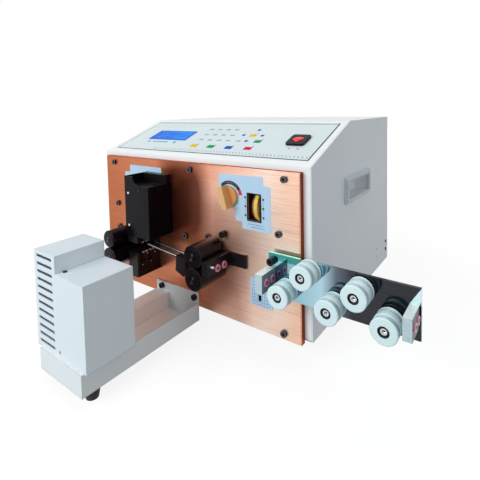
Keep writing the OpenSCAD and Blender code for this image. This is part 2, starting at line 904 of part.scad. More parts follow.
// The block that carries the upper shaft and slides up the front plate on its tongue
module carriage(x, axis_gap) {
    translate([x, 0, wire_z + axis_gap]) difference() {
        union() {
            span([-carriage_w / 2, carriage_w / 2], [plate_y - seat - carriage_t,
                plate_y - seat], [-axis_gap + nip_gap, carriage_h - axis_gap]);
            bar_y(carriage_tongue_w / 2, [plate_y - seat - over, 0]);
        }
        bar_y(shaft_r + fit, [plate_y - carriage_t - 2 * over, over]);
    }
}

module inlet_carriage() {
    color("#2a2a30") carriage(inlet_x, inlet_axis);
}

module outlet_carriage() {
    color("#2a2a30") carriage(outlet_x, outlet_axis);
}

bar_x0 = inlet_x + inlet_r + bar_gap;

// The bar that guides both wires into the inlet rollers, with its foot on the front plate
module inlet_guide_bar() {
    color("#232328") difference() {
        union() {
            span([bar_x0, bar_x0 + bar_t], [plate_y - bar_len, plate_y],
                [wire_z - bar_drop, wire_z - bar_drop + bar_h]);
            span([bar_x0, bar_x0 + bar_t + bar_foot_w], [plate_y - bar_foot_t, plate_y],
                [wire_z - bar_drop, wire_z - bar_drop + bar_h]);
        }
        for (y = wire_ys) translate([0, y, wire_z])
            bar_x(eyelet_body_r + eyelet_fit, [bar_x0 - over, bar_x0 + bar_t + over]);
    }
    color("silver") for (side = [-1, 1]) translate([bar_x0 + bar_t + foot_screw_gap,
        plate_y - bar_foot_t, wire_z - bar_drop + bar_h / 2 + side * foot_screw_step / 2])
        cap_screw(foot_screw_r, foot_screw_h);
    color("silver") translate([0, plate_y - bar_len + bar_pin_back, wire_z + bar_pin_top])
        bar_x(bar_pin_r, [bar_x0 + bar_t - over, bar_x0 + bar_t + bar_pin_proud]);
}

// A ceramic eyelet: a sleeve through a plate with a flange on its right face
module eyelet(x0, x1) {
    difference() {
        union() {
            bar_x(eyelet_body_r, [x0, x1 + eyelet_flange / 2]);
            translate([x1, 0, 0]) rotate([0, 90, 0]) cylinder(r1 = eyelet_r,
                r2 = eyelet_r - eyelet_flange / 2, h = eyelet_flange);
        }
        bar_x(eyelet_bore_r, [x0 - over, x1 + eyelet_flange + over]);
    }
}

module inlet_eyelets() {
    color("#e79ab0") for (y = wire_ys) translate([0, y, wire_z])
        eyelet(bar_x0, bar_x0 + bar_t);
}

module pressure_knob() {
    color("#2c2c32") translate([inlet_x + press_x, 0, wire_z + press_rise]) {
        edged_bar_y(press_r, [plate_y - seat - press_len, plate_y - seat], roller_edge);
        bar_y(knob_shaft_r, [plate_y - seat - over, shaft_tail]);
    }
}

holder_x1 = inlet_x - inlet_r - tube_gap;
pivot_x = holder_x1 - holder_block_w / 2;

// Turns a piece about the tube holder's pin, so that the tubes' left ends stand a little high
module tilted() {
    translate([pivot_x, 0, tube_z - pivot_drop]) rotate([0, tube_tilt, 0])
        translate([-pivot_x, 0, pivot_drop - tube_z]) children();
}

// The block that holds the guide tubes and swings on a pin in the front plate
module tube_holder() {
    x0 = holder_x1 - holder_block_w;
    color("#222228") tilted() difference() {
        plate_y_shape([wire_y - holder_block_d / 2, wire_y + holder_block_d / 2])
            polygon([[x0, tube_z - holder_block_h + tube_r * 2],
                [holder_x1 - holder_edge, tube_z - holder_block_h],
                [holder_x1, tube_z - holder_block_h + holder_edge], [holder_x1, tube_z + tube_r],
                [holder_x1 - holder_edge, tube_z + tube_r * 2], [x0, tube_z + tube_r * 2]]);
        for (y = wire_ys) translate([0, y, tube_z])
            bar_x(tube_r + fit, [x0 - over, holder_x1 + over]);
        span([x0 - over, holder_x1 - holder_edge], [wire_y - wire_pitch / 4,
            wire_y + wire_pitch / 4], [tube_z - tube_r, tube_z + holder_block_h]);
    }
    color("silver") translate([pivot_x, 0, tube_z - pivot_drop])
        bar_y(pivot_r, [wire_y + holder_block_d / 2 - over, shaft_tail]);
}

module guide_tubes() {
    x0 = blade_x + blade_t + clamp_h + tube_end_gap;
    color("silver") tilted() for (y = wire_ys) translate([0, y, tube_z]) difference() {
        bar_x(tube_r, [x0, holder_x1 + tube_nose]);
        bar_x(tube_bore_r, [x0 - over, holder_x1 + tube_nose + over]);
    }
}

pinion_x = holder_x + holder_w / 2;
pinion_z = wire_z + pinion_rise;
channel_w = pinion_r + rack_back;
rack_y1 = plate_y - bracket_back - seat;

// The black frame of the cutter: a back plate with a channel for both racks, as narrow as the
// blade holders below the cover, and a top block that closes the head
module cutter_bracket() {
    x0 = cover_x + cover_t + seat;
    x1 = cover_x + cover_w - cover_t - seat;
    top = cover_z + cover_h + ear_h - seat;
    color("#1e1e22") difference() {
        union() {
            span([x0, x1], [plate_y - bracket_t, plate_y], [cover_z, top]);
            span([x0, x0 + holder_w], [plate_y - bracket_t, plate_y],
                [wire_z - bracket_low, cover_z + over]);
            span([x0, x1], [cover_y + cover_t + seat, plate_y - bracket_t + over],
                [cover_z + cover_h - bracket_top, cover_z + cover_h - cover_t]);
        }
        span([pinion_x - channel_w - fit, pinion_x + channel_w + fit],
            [plate_y - bracket_t - over, plate_y - bracket_back],
            [wire_z - bracket_low - over, pinion_z + rack_reach + blade_travel + over]);
        translate([pinion_x, 0, pinion_z])
            bar_y(pinion_shaft_r + fit, [plate_y - bracket_t, plate_y + over]);
    }
    color("silver") translate([cover_x + cover_w * 2 / 3, plate_y - bracket_t - cover_d / 4,
        cover_z + cover_h - cover_t]) cylinder(r = cap_r, h = cover_t);
}

// The folded cover: left, front and right wall with a raised ear whose edge sweeps down
module cutter_cover() {
    color("#17171b") {
        plate_y_shape([cover_y, cover_y + cover_t]) cover_front();
        span([cover_x, cover_x + cover_t], [cover_y, plate_y],
            [cover_z, cover_z + cover_h + ear_h]);
        span([cover_x + cover_w - cover_t, cover_x + cover_w], [cover_y, plate_y],
            [cover_z, cover_z + cover_h]);
    }
}

module cover_front() {
    difference() {
        translate([cover_x, cover_z]) square([cover_w, cover_h + ear_h]);
        translate([cover_x + ear_w + ear_h, cover_z + cover_h + ear_h]) circle(ear_h);
        translate([cover_x + ear_w + ear_h, cover_z + cover_h])
            square([cover_w, ear_h + over]);
    }
}

cover_screw_x_shares = [0.16, 0.16, 0.62];
cover_screw_z_shares = [0.72, 0.18, 0.78];

module cover_screws() {
    for (i = [0 : len(cover_screw_x_shares) - 1]) color(i < 2 ? "white" : "#222226")
        translate([cover_x + cover_w * cover_screw_x_shares[i], cover_y,
            cover_z + (cover_h + ear_h) * cover_screw_z_shares[i]])
                bar_y(cover_screw_r, [-cover_screw_h, 0]);
}

// The block of a blade holder
module blade_holder(zs) {
    span([holder_x, holder_x + holder_w], [cover_y + cover_t + seat,
        plate_y - bracket_t - seat], zs);
}

// A toothed rack that stands at the pinion's left or right side, with its root running from the
// holder's back into the channel. Its teeth mesh with the pinion where it rests.
module rack(side, y0, zs) {
    step = 2 * PI * pinion_r / pinion_teeth;
    teeth = round(2 * rack_reach / step);
    root = pinion_r + pinion_tooth / 2 + tooth_clear;
    tip = pinion_r - pinion_tooth / 2;
    translate([pinion_x, 0, pinion_z]) scale([side, 1, 1]) {
        span([root, channel_w], [y0, rack_y1], [zs[0] - pinion_z, zs[1] - pinion_z]);
        plate_y_shape([rack_y1 - rack_t, rack_y1]) for (i = [-teeth / 2 : teeth / 2 - 1])
            translate([0, (i + 1 / 2) * step]) polygon([[root + over, -step / 4],
                [root, -step / 4], [tip, -step / 8], [tip, step / 8], [root, step / 4],
                [root + over, step / 4]]);
    }
}

blade_x = holder_x + holder_w + seat;
upper_holder_z = wire_z + blade_gap + blade_travel;
lower_holder_z = wire_z - blade_gap - blade_travel;

module upper_blade_holder() {
    color("#202026") {
        blade_holder([upper_holder_z, upper_holder_z + upper_holder_h]);
        rack(-1, plate_y - bracket_t - over, [upper_holder_z, pinion_z + rack_reach]);
    }
}

module lower_blade_holder() {
    back = plate_y - bracket_t;
    color("#202026") {
        blade_holder([lower_holder_z - lower_holder_h, lower_holder_z]);
        rack(1, back + pinion_gap, [lower_holder_z - lower_holder_h, pinion_z + rack_reach]);
        span([pinion_x + pinion_r, pinion_x + channel_w], [back - over, back + 2 * pinion_gap],
            [lower_holder_z - lower_holder_h, lower_holder_z]);
    }
}

// The pinion between both racks, on the cutter motor's shaft
module cutter_pinion() {
    color("silver") translate([pinion_x, 0, pinion_z]) {
        plate_y_shape([rack_y1 - pinion_t, rack_y1])
            gear_shape(pinion_r, pinion_teeth, pinion_tooth, false);
        bar_y(pinion_shaft_r, [rack_y1 - over, pillar_len + step_shaft]);
    }
}

// Two blades with V notches, one a wire, and the screws that clamp them
module blade_set(x, edge_z, way) {
    for (y = wire_ys) translate([x, y, edge_z]) scale([1, 1, way]) {
        plate_x_shape([0, blade_t]) difference() {
            translate([-blade_w / 2, 0]) square([blade_w, blade_h]);
            polygon([[-notch_w / 2, -over], [0, notch_h], [notch_w / 2, -over]]);
        }
        translate([blade_t, 0, blade_h * 2 / 3]) rotate([0, 90, 0])
            cylinder(r = clamp_r, h = clamp_h);
    }
}

module upper_blades() {
    color("silver") blade_set(blade_x, wire_z + blade_travel + seat, 1);
}

module lower_blades() {
    color("silver") blade_set(blade_x, wire_z - blade_travel - seat, -1);
}

// The sheet arm: a ledge on the left, a channel on the right, an apron at the front with a strip
// that the twister's cover stands on, and an end plate that bolts to the front plate
module arm_tray() {
    x0 = tray_x;
    x1 = tray_x + tray_w;
    z0 = bottom_z - tray_drop;
    color("#eef2f3") difference() {
        union() {
            span([x0, x0 + ledge_w], [tray_y, plate_y], [tray_top - tray_t, tray_top]);
            span([x0 + ledge_w - tray_t, x0 + ledge_w], [tray_y, plate_y], [z0, tray_top]);
            span([x0 + ledge_w - tray_t, x1], [tray_y, plate_y], [z0, z0 + tray_t]);
            span([x1 - tray_t, x1], [tray_y, plate_y], [z0, tray_top]);
            span([x0, x1], [tray_y, tray_y + tray_t], [z0, tray_top]);
            span([x0, x1], [tray_y, tray_y + tray_front + box_front_lip],
                [tray_top - tray_t, tray_top]);
            span([x0, x1], [plate_y - tray_t, plate_y], [z0, z0 + end_plate_h]);
        }
        for (share = bolt_shares) translate([tray_x + tray_w * share, 0, z0 + bolt_rise])
                bar_y(end_hole_r, [plate_y - tray_t - over, plate_y + over]);
    }
}

bolt_shares = [0.15, 0.935];

module arm_bolts() {
    color("#1c1c20") for (share = bolt_shares)
        translate([tray_x + tray_w * share, plate_y - tray_t,
            bottom_z - tray_drop + bolt_rise]) {
            cap_screw(cap_r, cap_r);
            bar_y(end_hole_r - seat, [-over, tray_t]);
        }
}

module arm_feet() {
    h = bottom_z - tray_drop;
    color("#1e1e22") for (i = [0, 1])
        translate([tray_x + tray_w - arm_foot_side - i * arm_foot_step,
            -box_reach + arm_foot_back, 0]) {
            cylinder(r1 = arm_foot_r - arm_foot_rim, r2 = arm_foot_r, h = h - arm_foot_rim);
            translate([0, 0, h - arm_foot_rim]) cylinder(r = arm_foot_r, h = arm_foot_rim);
        }
}

module box_outline() {
    polygon([[0, 0], [box_w, 0], [box_w, box_h], [rise_w, box_h], [rise_w, box_h + rise_h],
        [0, box_h + rise_h]]);
}

// The vented cover: an open-bottomed shell of two heights with lips that rest on the arm
module twister_cover() {
    color("#f1f5f6") translate([box_x, -box_reach, tray_top]) difference() {
        plate_y_shape([0, box_d]) box_outline();
        plate_y_shape([box_t, box_d - box_t]) {
            translate([box_t, box_t]) square([box_w - 2 * box_t, box_h - 2 * box_t]);
            translate([box_t, box_t]) square([rise_w - 2 * box_t, box_h + rise_h - 2 * box_t]);
        }
        span([tray_x - box_x + box_lip, tray_x - box_x + tray_w - box_lip],
            [box_front_lip, box_d + over], [-over, box_t + over]);
        span([box_t, tray_x - box_x], [box_t, box_d - box_t], [-over, box_t + over]);
        for (i = [0 : vents - 1])
            translate([vent_side + vent_w / 2, 0, vent_low + i * vent_pitch])
                plate_y_shape([-over, box_t + over])
                    rotate(90) slot_shape(slot_h / 2, vent_w);
        translate([rise_w + slot_h, 0, vent_low])
            bar_y(tiny_hole_r, [-over, box_t + over]);
        translate([spindle_x - box_x, 0, spindle_z - tray_top])
            bar_y(head_r + over, [box_d - box_t - over, box_d + over]);
    }
}

spindle_x = box_x + box_t + 2 * box_t + motor_w / 2;
twister_plate_y = -box_reach + box_d - head_gap;

module twister_bracket() {
    x0 = tray_x + box_lip + seat;
    x1 = tray_x + ledge_w;
    color("silver") difference() {
        union() {
            span([x0, spindle_x + motor_w / 2], [twister_plate_y - bracket_sheet,
                twister_plate_y], [tray_top, spindle_z + motor_w / 2]);
            span([x0, x1], [twister_plate_y - bracket_foot, twister_plate_y],
                [tray_top, tray_top + bracket_sheet]);
        }
        translate([spindle_x, 0, spindle_z])
            bar_y(spindle_r + fit, [twister_plate_y - bracket_foot, twister_plate_y + over]);
    }
}

module twister_motor() {
    y1 = twister_plate_y - bracket_sheet;
    color("#34343a") difference() {
        translate([spindle_x - motor_w / 2, y1, spindle_z - motor_w / 2])
            plate_y_shape([-motor_len, 0]) round_rect(motor_w, motor_w, bezel_r);
        translate([spindle_x, 0, spindle_z]) bar_y(spindle_r + fit, [y1 - step_shaft, y1 + over]);
    }
}

// The spindle with the forked head that twists the stripped strands
module twister_head() {
    y0 = twister_plate_y - bracket_sheet - step_shaft + seat;
    y1 = twister_plate_y + head_gap;
    translate([spindle_x, 0, spindle_z]) {
        color("silver") bar_y(spindle_r, [y0, y1 + over]);
        color("#2a2a30") difference() {
            edged_bar_y(head_r, [y1 - head_gap / 2, y1 + head_len], roller_edge);
            span([-head_slot / 2, head_slot / 2], [y1 + head_len / 2, y1 + head_len + over],
                [-head_r - over, head_r + over]);
        }
    }
}

roller_xs = [for (i = [0 : sr_count - 1]) sp_x + sr_first + i * sr_pitch];
roller_lifts = [0, lift_first, 0, lift_last, 0];
roller_drop = sr_r - groove_depth + wire_seat;
function roller_z(i) = wire_z + (i % 2 == 0 ? -roller_drop : roller_drop + roller_lifts[i]);

// The polished plate with round holes for the lower bolts, slots for the upper ones and slots
// for its own fixing
module straightener_plate() {
    color("#b9c6cc") difference() {
        span([sp_x, sp_x + sp_len], [sp_front, sp_front + sp_t],
            [wire_z - sp_low, wire_z - sp_low + sp_h]);
        for (i = [0 : sr_count - 1]) translate([roller_xs[i], 0, roller_z(i)])
            if (i % 2 == 0) bar_y(bolt_r + fit, [sp_front - over, sp_front + sp_t + over]);
            else plate_y_shape([sp_front - over, sp_front + sp_t + over])
                slot_shape(bolt_r + fit, slot_len);
        for (z = [mount_low, mount_top]) translate([sp_x + mount_x, 0, wire_z - sp_low + z])
            plate_y_shape([sp_front - over, sp_front + sp_t + over])
                slot_shape(mount_shank_r + fit, mount_slot);
    }
}

// Spacers, the knob bolt and the lower cap screw that hold the polished plate
module straightener_mounts() {
    for (z = [mount_low, mount_top]) translate([sp_x + mount_x, 0, wire_z - sp_low + z]) {
        color("silver") bar_y(mount_spacer_r, [sp_front + sp_t, plate_y]);
        color("silver") bar_y(mount_shank_r, [sp_front - over, sp_front + sp_t + over]);
        color("#1c1c20") translate([0, sp_front, 0])
            cap_screw(z == mount_top ? knob_bolt_r : cap_r,
                z == mount_top ? knob_bolt_h : cap_r);
    }
}

module guide_block(x0, t) {
    z0 = wire_z - block_h / 2;
    difference() {
        span([x0, x0 + t], [sp_front - block_d, sp_front], [z0, z0 + block_h]);
        for (y = wire_ys) translate([0, y, wire_z])
            bar_x(eyelet_body_r + eyelet_fit, [x0 - over, x0 + t + over]);
    }
}

block_out_x = sp_x + sp_len - block_out_t - block_out_gap;

module guide_block_inner() {
    color("#c3d3d8") guide_block(block_in_x, block_t);
}

module guide_block_outer() {
    color("#c3d3d8") guide_block(block_out_x, block_out_t);
}

module block_eyelets() {
    color("#e79ab0") for (y = wire_ys) translate([0, y, wire_z]) {
        eyelet(block_in_x, block_in_x + block_t);
        eyelet(block_out_x, block_out_x + block_out_t);
    }
}

// One turned roller: two grooves, one a wire, a bore and a counterbore for the bolt's head
module straightener_roller(i) {
    back = sp_front - sr_gap;
    grooves = [for (y = wire_ys) back - y];
    half = groove_w / 2;
    low = land_bottom / 2;
    color("#dfeeee") translate([roller_xs[i], back, roller_z(i)]) rotate([90, 0, 0])
        rotate_extrude() polygon([[bolt_r + fit, 0], [sr_r - roller_edge, 0], [sr_r, roller_edge],
            [sr_r, grooves[1] - half], [sr_r - groove_depth, grooves[1] - low],
            [sr_r - groove_depth, grooves[1] + low], [sr_r, grooves[1] + half],
            [sr_r, grooves[0] - half], [sr_r - groove_depth, grooves[0] - low],
            [sr_r - groove_depth, grooves[0] + low], [sr_r, grooves[0] + half],
            [sr_r, sr_len - roller_edge], [sr_r - roller_edge, sr_len],
            [counterbore_r, sr_len], [counterbore_r, sr_len - counterbore_d],
            [bolt_r + fit, sr_len - counterbore_d]]);
}

module straightener_roller_1() straightener_roller(0);
module straightener_roller_2() straightener_roller(1);
module straightener_roller_3() straightener_roller(2);
module straightener_roller_4() straightener_roller(3);
module straightener_roller_5() straightener_roller(4);

// The bolts that the rollers turn on, with a shoulder washer and a nut behind the plate
module roller_bolts() {
    head_y = sp_front - sr_gap - sr_len + counterbore_d - seat;
    color("silver") for (i = [0 : sr_count - 1])
        translate([roller_xs[i], 0, roller_z(i)]) {
            bar_y(bolt_r, [head_y - over, sp_front + sp_t + bolt_nut_h]);
            difference() {
                bar_y(bolt_head_r, [head_y - bolt_head_h, head_y]);
                translate([0, head_y - bolt_head_h / 2, 0]) rotate([90, 0, 0])
                    cylinder(r = bolt_head_r / 2, h = bolt_head_h, $fn = 6);
            }
            bar_y(bolt_r + sr_gap, [sp_front - sr_gap + seat, sp_front]);
            translate([0, sp_front + sp_t + bolt_nut_h, 0]) rotate([90, 0, 0])
                cylinder(r = bolt_nut_r, h = bolt_nut_h, $fn = 6);
        }
}

// A square stepper motor on four pillars behind the front plate
module stepper(x, z, w, length, bore_r) {
    translate([x, 0, z]) difference() {
        union() {
            translate([-w / 2, 0, -w / 2])
                plate_y_shape([pillar_len, pillar_len + length]) round_rect(w, w, bezel_r);
            for (a = [-1, 1], b = [-1, 1])
                translate([a * w * pillar_share, 0, b * w * pillar_share])
                    bar_y(pillar_r, [0, pillar_len + over]);
        }
        bar_y(bore_r + fit, [pillar_len - over, pillar_len + step_shaft + over]);
    }
}

module feed_motors() {
    color("#3b3b42") {
        stepper(inlet_x, wire_z - inlet_axis, step_w, step_len, shaft_r);
        stepper(outlet_x, wire_z - outlet_low_axis, step_w, step_len, shaft_r);
    }
}

module cutter_motor() {
    color("#3b3b42") stepper(pinion_x, pinion_z, cutter_step_w, cutter_step_len,
        pinion_shaft_r);
}

module power_supply() {
    color("silver") difference() {
        span([supply_x, supply_x + supply_w], [supply_y, supply_y + supply_d],
            [bottom_z + sheet_t, bottom_z + sheet_t + supply_h]);
        for (i = [0 : vents - 1])
            translate([0, supply_y + supply_d * (i + 1) / (vents + 1),
                bottom_z + sheet_t + supply_h / 2])
                plate_x_shape([supply_x + supply_w - sheet_t, supply_x + supply_w + over])
                    slot_shape(slot_h / 2, supply_h / 2);
    }
}

module control_board() {
    y1 = body_d - sheet_t - pcb_stand;
    color("#2c7a4a") {
        span([pcb_x, pcb_x + pcb_w], [y1 - pcb_t, y1], [bottom_z + pcb_y + socket_h,
            bottom_z + pcb_y + socket_h + pcb_h]);
        for (x = [pcb_x + pcb_stand, pcb_x + pcb_w - pcb_stand],
                z = [pcb_stand, pcb_h - pcb_stand])
            translate([x, 0, bottom_z + pcb_y + socket_h + z])
                bar_y(pillar_r, [y1 - over, body_d - sheet_t]);
    }
}

middle_x = (sp_x + sp_len - grip_proud) / 2;
middle_y = (body_d + sheet_t + tray_y) / 2;

module placed() translate([-middle_x, -middle_y, 0]) children();

placed() side_panel_left();
placed() side_panel_right();
placed() top_cover();
placed() front_frame();
placed() rear_panel();
placed() base_plate();
placed() housing_feet();
placed() handle_left();
placed() handle_right();
placed() front_plate();
placed() plate_screws();
placed() membrane_board();
placed() display_window();
placed() key_pads();
placed() switch_bezel();
placed() power_rocker();
placed() mode_knob();
placed() thumbwheel();
placed() thumbwheel_bracket();
placed() inlet_lower_roller();
placed() inlet_carriage();
placed() inlet_upper_roller();
placed() inlet_guide_bar();
placed() inlet_eyelets();
placed() pressure_knob();
placed() tube_holder();
placed() guide_tubes();
placed() cutter_bracket();
placed() cutter_cover();
placed() cover_screws();
placed() upper_blade_holder();
placed() upper_blades();
placed() lower_blade_holder();
placed() lower_blades();
placed() cutter_pinion();
placed() outlet_lower_roller();
placed() outlet_carriage();
placed() outlet_upper_roller();
placed() arm_tray();
placed() arm_bolts();
placed() arm_feet();
placed() twister_cover();
placed() twister_bracket();
placed() twister_motor();
placed() twister_head();
placed() straightener_plate();
placed() straightener_mounts();
placed() guide_block_inner();
placed() guide_block_outer();
placed() block_eyelets();
placed() straightener_roller_1();
placed() straightener_roller_2();
placed() straightener_roller_3();
placed() straightener_roller_4();
placed() straightener_roller_5();
placed() roller_bolts();
placed() feed_motors();
placed() cutter_motor();
placed() power_supply();
placed() control_board();
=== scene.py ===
import math
import bpy
from mathutils import Matrix, Vector


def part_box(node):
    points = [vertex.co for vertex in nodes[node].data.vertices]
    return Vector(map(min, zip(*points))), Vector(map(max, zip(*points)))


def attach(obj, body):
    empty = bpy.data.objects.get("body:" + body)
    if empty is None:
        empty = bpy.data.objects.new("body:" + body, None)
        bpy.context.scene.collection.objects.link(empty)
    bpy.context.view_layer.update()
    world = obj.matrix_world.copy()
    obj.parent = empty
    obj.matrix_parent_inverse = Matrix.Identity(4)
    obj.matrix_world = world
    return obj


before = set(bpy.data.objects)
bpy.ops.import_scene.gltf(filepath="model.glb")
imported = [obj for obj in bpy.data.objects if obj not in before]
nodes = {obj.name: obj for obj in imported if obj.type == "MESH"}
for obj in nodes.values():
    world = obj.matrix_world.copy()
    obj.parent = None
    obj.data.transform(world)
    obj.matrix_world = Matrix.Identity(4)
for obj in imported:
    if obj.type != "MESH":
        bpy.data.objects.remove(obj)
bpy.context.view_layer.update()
bpy.ops.object.select_all(action="DESELECT")

# The camera stands low to the right of the front plate and looks at its middle. It is shifted
# down, so that the upright edges of the housing stay nearly parallel.
FOCAL_PX = 379.5
FRAME_PX = 480
AXIS_PX = 130.3
camera = bpy.data.objects.new("Camera", bpy.data.cameras.new("Camera"))
bpy.context.scene.collection.objects.link(camera)
bpy.context.scene.camera = camera
camera.data.sensor_width = 36
camera.data.lens = FOCAL_PX / FRAME_PX * camera.data.sensor_width
camera.data.shift_y = (AXIS_PX - FRAME_PX / 2) / FRAME_PX
camera.data.clip_start = 0.01
yaw, pitch, roll = math.radians(36.3), math.radians(3.3), math.radians(-1.2)
turn = Matrix.Rotation(yaw, 3, "Z") @ Matrix.Rotation(math.pi / 2 - pitch, 3, "X")
camera.rotation_euler = (turn @ Matrix.Rotation(roll, 3, "Z")).to_euler()
camera.location = (0.36941, -0.51605, 0.3581)


# The housing is folded sheet steel, powder coated in a cool white. The side panels are a shade
# greyer than the bent cover, and the coat has the slight ripple of a sprayed and baked finish.
class Flow:
    """A shader value. Sums written with it add Math nodes, and node() adds any other node."""

    def __init__(self, socket):
        self.socket = socket

    def node(self, kind, settings=(), inputs=(), output=0):
        new = self.socket.id_data.nodes.new("ShaderNode" + kind)
        for key, value in dict(settings).items():
            if key == "stops":
                ramp = new.color_ramp
                for place, colour in value[2:]:
                    ramp.elements.new(place)
                for element, (place, colour) in zip(ramp.elements, sorted(value)):
                    element.position = place
                    element.color = (*colour, 1)
            else:
                setattr(new, key, value)
        for key, value in dict(inputs).items():
            if isinstance(value, Flow):
                value.socket.id_data.links.new(value.socket, new.inputs[key])
            else:
                new.inputs[key].default_value = value
        return Flow(new.outputs[output])

    def math(self, operation, *others):
        return self.node("Math", {"operation": operation}, dict(enumerate((self, *others))))

    def __add__(self, other):
        return self.math("ADD", other)

    def __sub__(self, other):
        return self.math("SUBTRACT", other)

    def __rsub__(self, other):
        return self.math("MULTIPLY_ADD", -1.0, other)

    def __mul__(self, other):
        return self.math("MULTIPLY", other)

    def __truediv__(self, other):
        return self.math("DIVIDE", other)

    def __gt__(self, other):
        return self.math("GREATER_THAN", other)

    def __lt__(self, other):
        return self.math("LESS_THAN", other)

    def __mod__(self, other):
        return self.math("FLOORED_MODULO", other)

    __radd__ = __add__
    __rmul__ = __mul__

    def absolute(self):
        return self.math("ABSOLUTE")

    def root(self):
        return self.math("SQRT")

    def hypot(self, other):
        """The length of two flows at right angles, as from an axis."""
        return (self * self + other * other).root()

    def near(self, middle, reach):
        return (self - middle).absolute() < reach

    def or_(self, other):
        return self.math("MAXIMUM", other)

    def ramp(self, *stops):
        """A colour picked from stops of a place and a colour."""
        return self.node("ValToRGB", {"stops": [(at, hue(code)[:3]) for at, code in stops]},
                         {0: self})

    def split(self):
        new = self.node("SeparateXYZ", (), {0: self})
        return [Flow(socket) for socket in new.socket.node.outputs]

    def blend(self, below, above):
        """The colour below where this mask is 0, and the one above where it is 1."""
        return self.node("Mix", {"data_type": "RGBA"}, {0: self, 6: below, 7: above}, 2)

    def noise(self, scale, stretch=(1, 1, 1), detail=2.0):
        place = self.node("Mapping", (), {"Vector": self, "Scale": stretch})
        return self.node("TexNoise", (), {"Vector": place, "Scale": scale, "Detail": detail})


def hue(code):
    """A colour as it is seen, such as d98f66, as a shader's colour."""
    parts = [int(code[i:i + 2], 16) / 255 for i in (0, 2, 4)]
    return (*[c / 12.92 if c < 0.04045 else ((c + 0.055) / 1.055) ** 2.4 for c in parts], 1)


class Finish:
    """A material with one Principled shader. Its place is the object's own, in metres."""

    def __init__(self, name, **sockets):
        self.material = bpy.data.materials.new(name)
        self.material.use_nodes = True
        self.tree = self.material.node_tree
        self.shader = self.tree.nodes["Principled BSDF"]
        for socket, value in sockets.items():
            self.set(socket.replace("_", " "), value)
        self.place = Flow(self.tree.nodes.new("ShaderNodeTexCoord").outputs["Object"])

    def set(self, socket, value):
        if isinstance(value, Flow):
            self.tree.links.new(value.socket, self.shader.inputs[socket])
        else:
            self.shader.inputs[socket].default_value = value

    def relief(self, height, depth, edge=0.0):
        """Bumps from a height of 0 to 1, over edges that look rounded where one is given."""
        inputs = {"Height": height, "Distance": depth, "Strength": 1.0}
        if edge:
            inputs["Normal"] = self.place.node("Bevel", {"samples": 4}, {"Radius": edge})
        self.set("Normal", self.place.node("Bump", (), inputs))

    def wear(self, *names):
        for name in names:
            piece = nodes[name] if isinstance(name, str) else name
            piece.data.materials.clear()
            piece.data.materials.append(self.material)
        return self


def powder_coat(name, code=None, edge=0.0012):
    """The coat in one clouded colour, or with its colour left to the section that calls."""
    coat = Finish(name)
    if code:
        shaded = (*[0.93 * part for part in hue(code)[:3]], 1)
        coat.set("Base Color", coat.place.noise(9).blend(hue(code), shaded))
    coat.set("Roughness", 0.36 + 0.12 * coat.place.noise(55))
    coat.relief(coat.place.noise(700), 0.00003, edge)
    return coat


powder_coat("panel_grey", "e8eff5").wear("side_panel_left", "side_panel_right")
powder_coat("panel_white", "f8fbfb").wear("top_cover", "front_frame")

# Pan head screws hold the side and rear panels, and two black push rivets close the holes at the
# back of each side. The screws are zinc plated steel, driven flush against the paint.
corner = Vector((*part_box("side_panel_left")[0].xy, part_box("base_plate")[0].z))
bpy.context.scene.tool_settings.mesh_select_mode = (False, False, True)


def spot(x, y, z):
    """A place, from millimetres measured from the housing's lower left front corner."""
    return corner + Vector((x, y, z)) / 1000


def begin(name, kind, place, sides=None, **settings):
    """A primitive at its size and place. A cube is given by its three sides."""
    if sides:
        settings["size"] = 1
    getattr(bpy.ops.mesh, "primitive_%s_add" % kind)(location=place, **settings)
    piece = bpy.context.object
    piece.name = name
    piece.scale = sides or (1, 1, 1)
    bpy.ops.object.transform_apply(location=True, rotation=True, scale=True)
    return piece


def pick(piece, test):
    """Opens a piece for editing, with the faces selected whose middle and normal pass a test."""
    if piece.mode == "EDIT":
        bpy.ops.object.mode_set(mode="OBJECT")
    for parts in (piece.data.vertices, piece.data.edges):
        parts.foreach_set("select", [False] * len(parts))
    for face in piece.data.polygons:
        face.select = test(face.center, face.normal)
    bpy.ops.object.mode_set(mode="EDIT")


def complete(piece, body, finish, edge=0.0):
    """Rounds a piece's edges, and hangs it on its body with its finish."""
    if piece.mode == "EDIT":
        bpy.ops.object.mode_set(mode="OBJECT")
    if edge:
        rounding = piece.modifiers.new("rounding", "BEVEL")
        rounding.width = edge
        rounding.segments = 2
        bpy.ops.object.modifier_apply(modifier=rounding.name)
    bpy.ops.object.shade_smooth_by_angle(angle=math.radians(40))
    piece.select_set(False)
    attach(piece, body)
    finish.wear(piece)
    return piece


def again(piece, name, matrix, body):
    """A copy of a piece with its own mesh, moved by a matrix."""
    copy = bpy.data.objects.new(name, piece.data.copy())
    bpy.context.scene.collection.objects.link(copy)
    copy.data.transform(matrix)
    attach(copy, body)
    return copy


def screw_head(name, place, along, radius, height, recess=0.45):
    """A round head that stands on a place, its edge rounded and a drive recess sunk in it."""
    turn = along.to_track_quat("Z", "Y").to_euler()
    head = begin(name, "cylinder", place + along * height / 2, vertices=24, radius=radius,
                 depth=height, rotation=turn)
    pick(head, lambda middle, normal: normal.dot(along) > 0.9)
    bpy.ops.mesh.bevel(offset=0.4 * height, segments=3)
    pick(head, lambda middle, normal: normal.dot(along) > 0.99)
    bpy.ops.mesh.inset(thickness=radius * (1 - recess) - 0.4 * height)
    bpy.ops.mesh.extrude_region_move(
        TRANSFORM_OT_translate={"value": -0.6 * height * along})
    return head


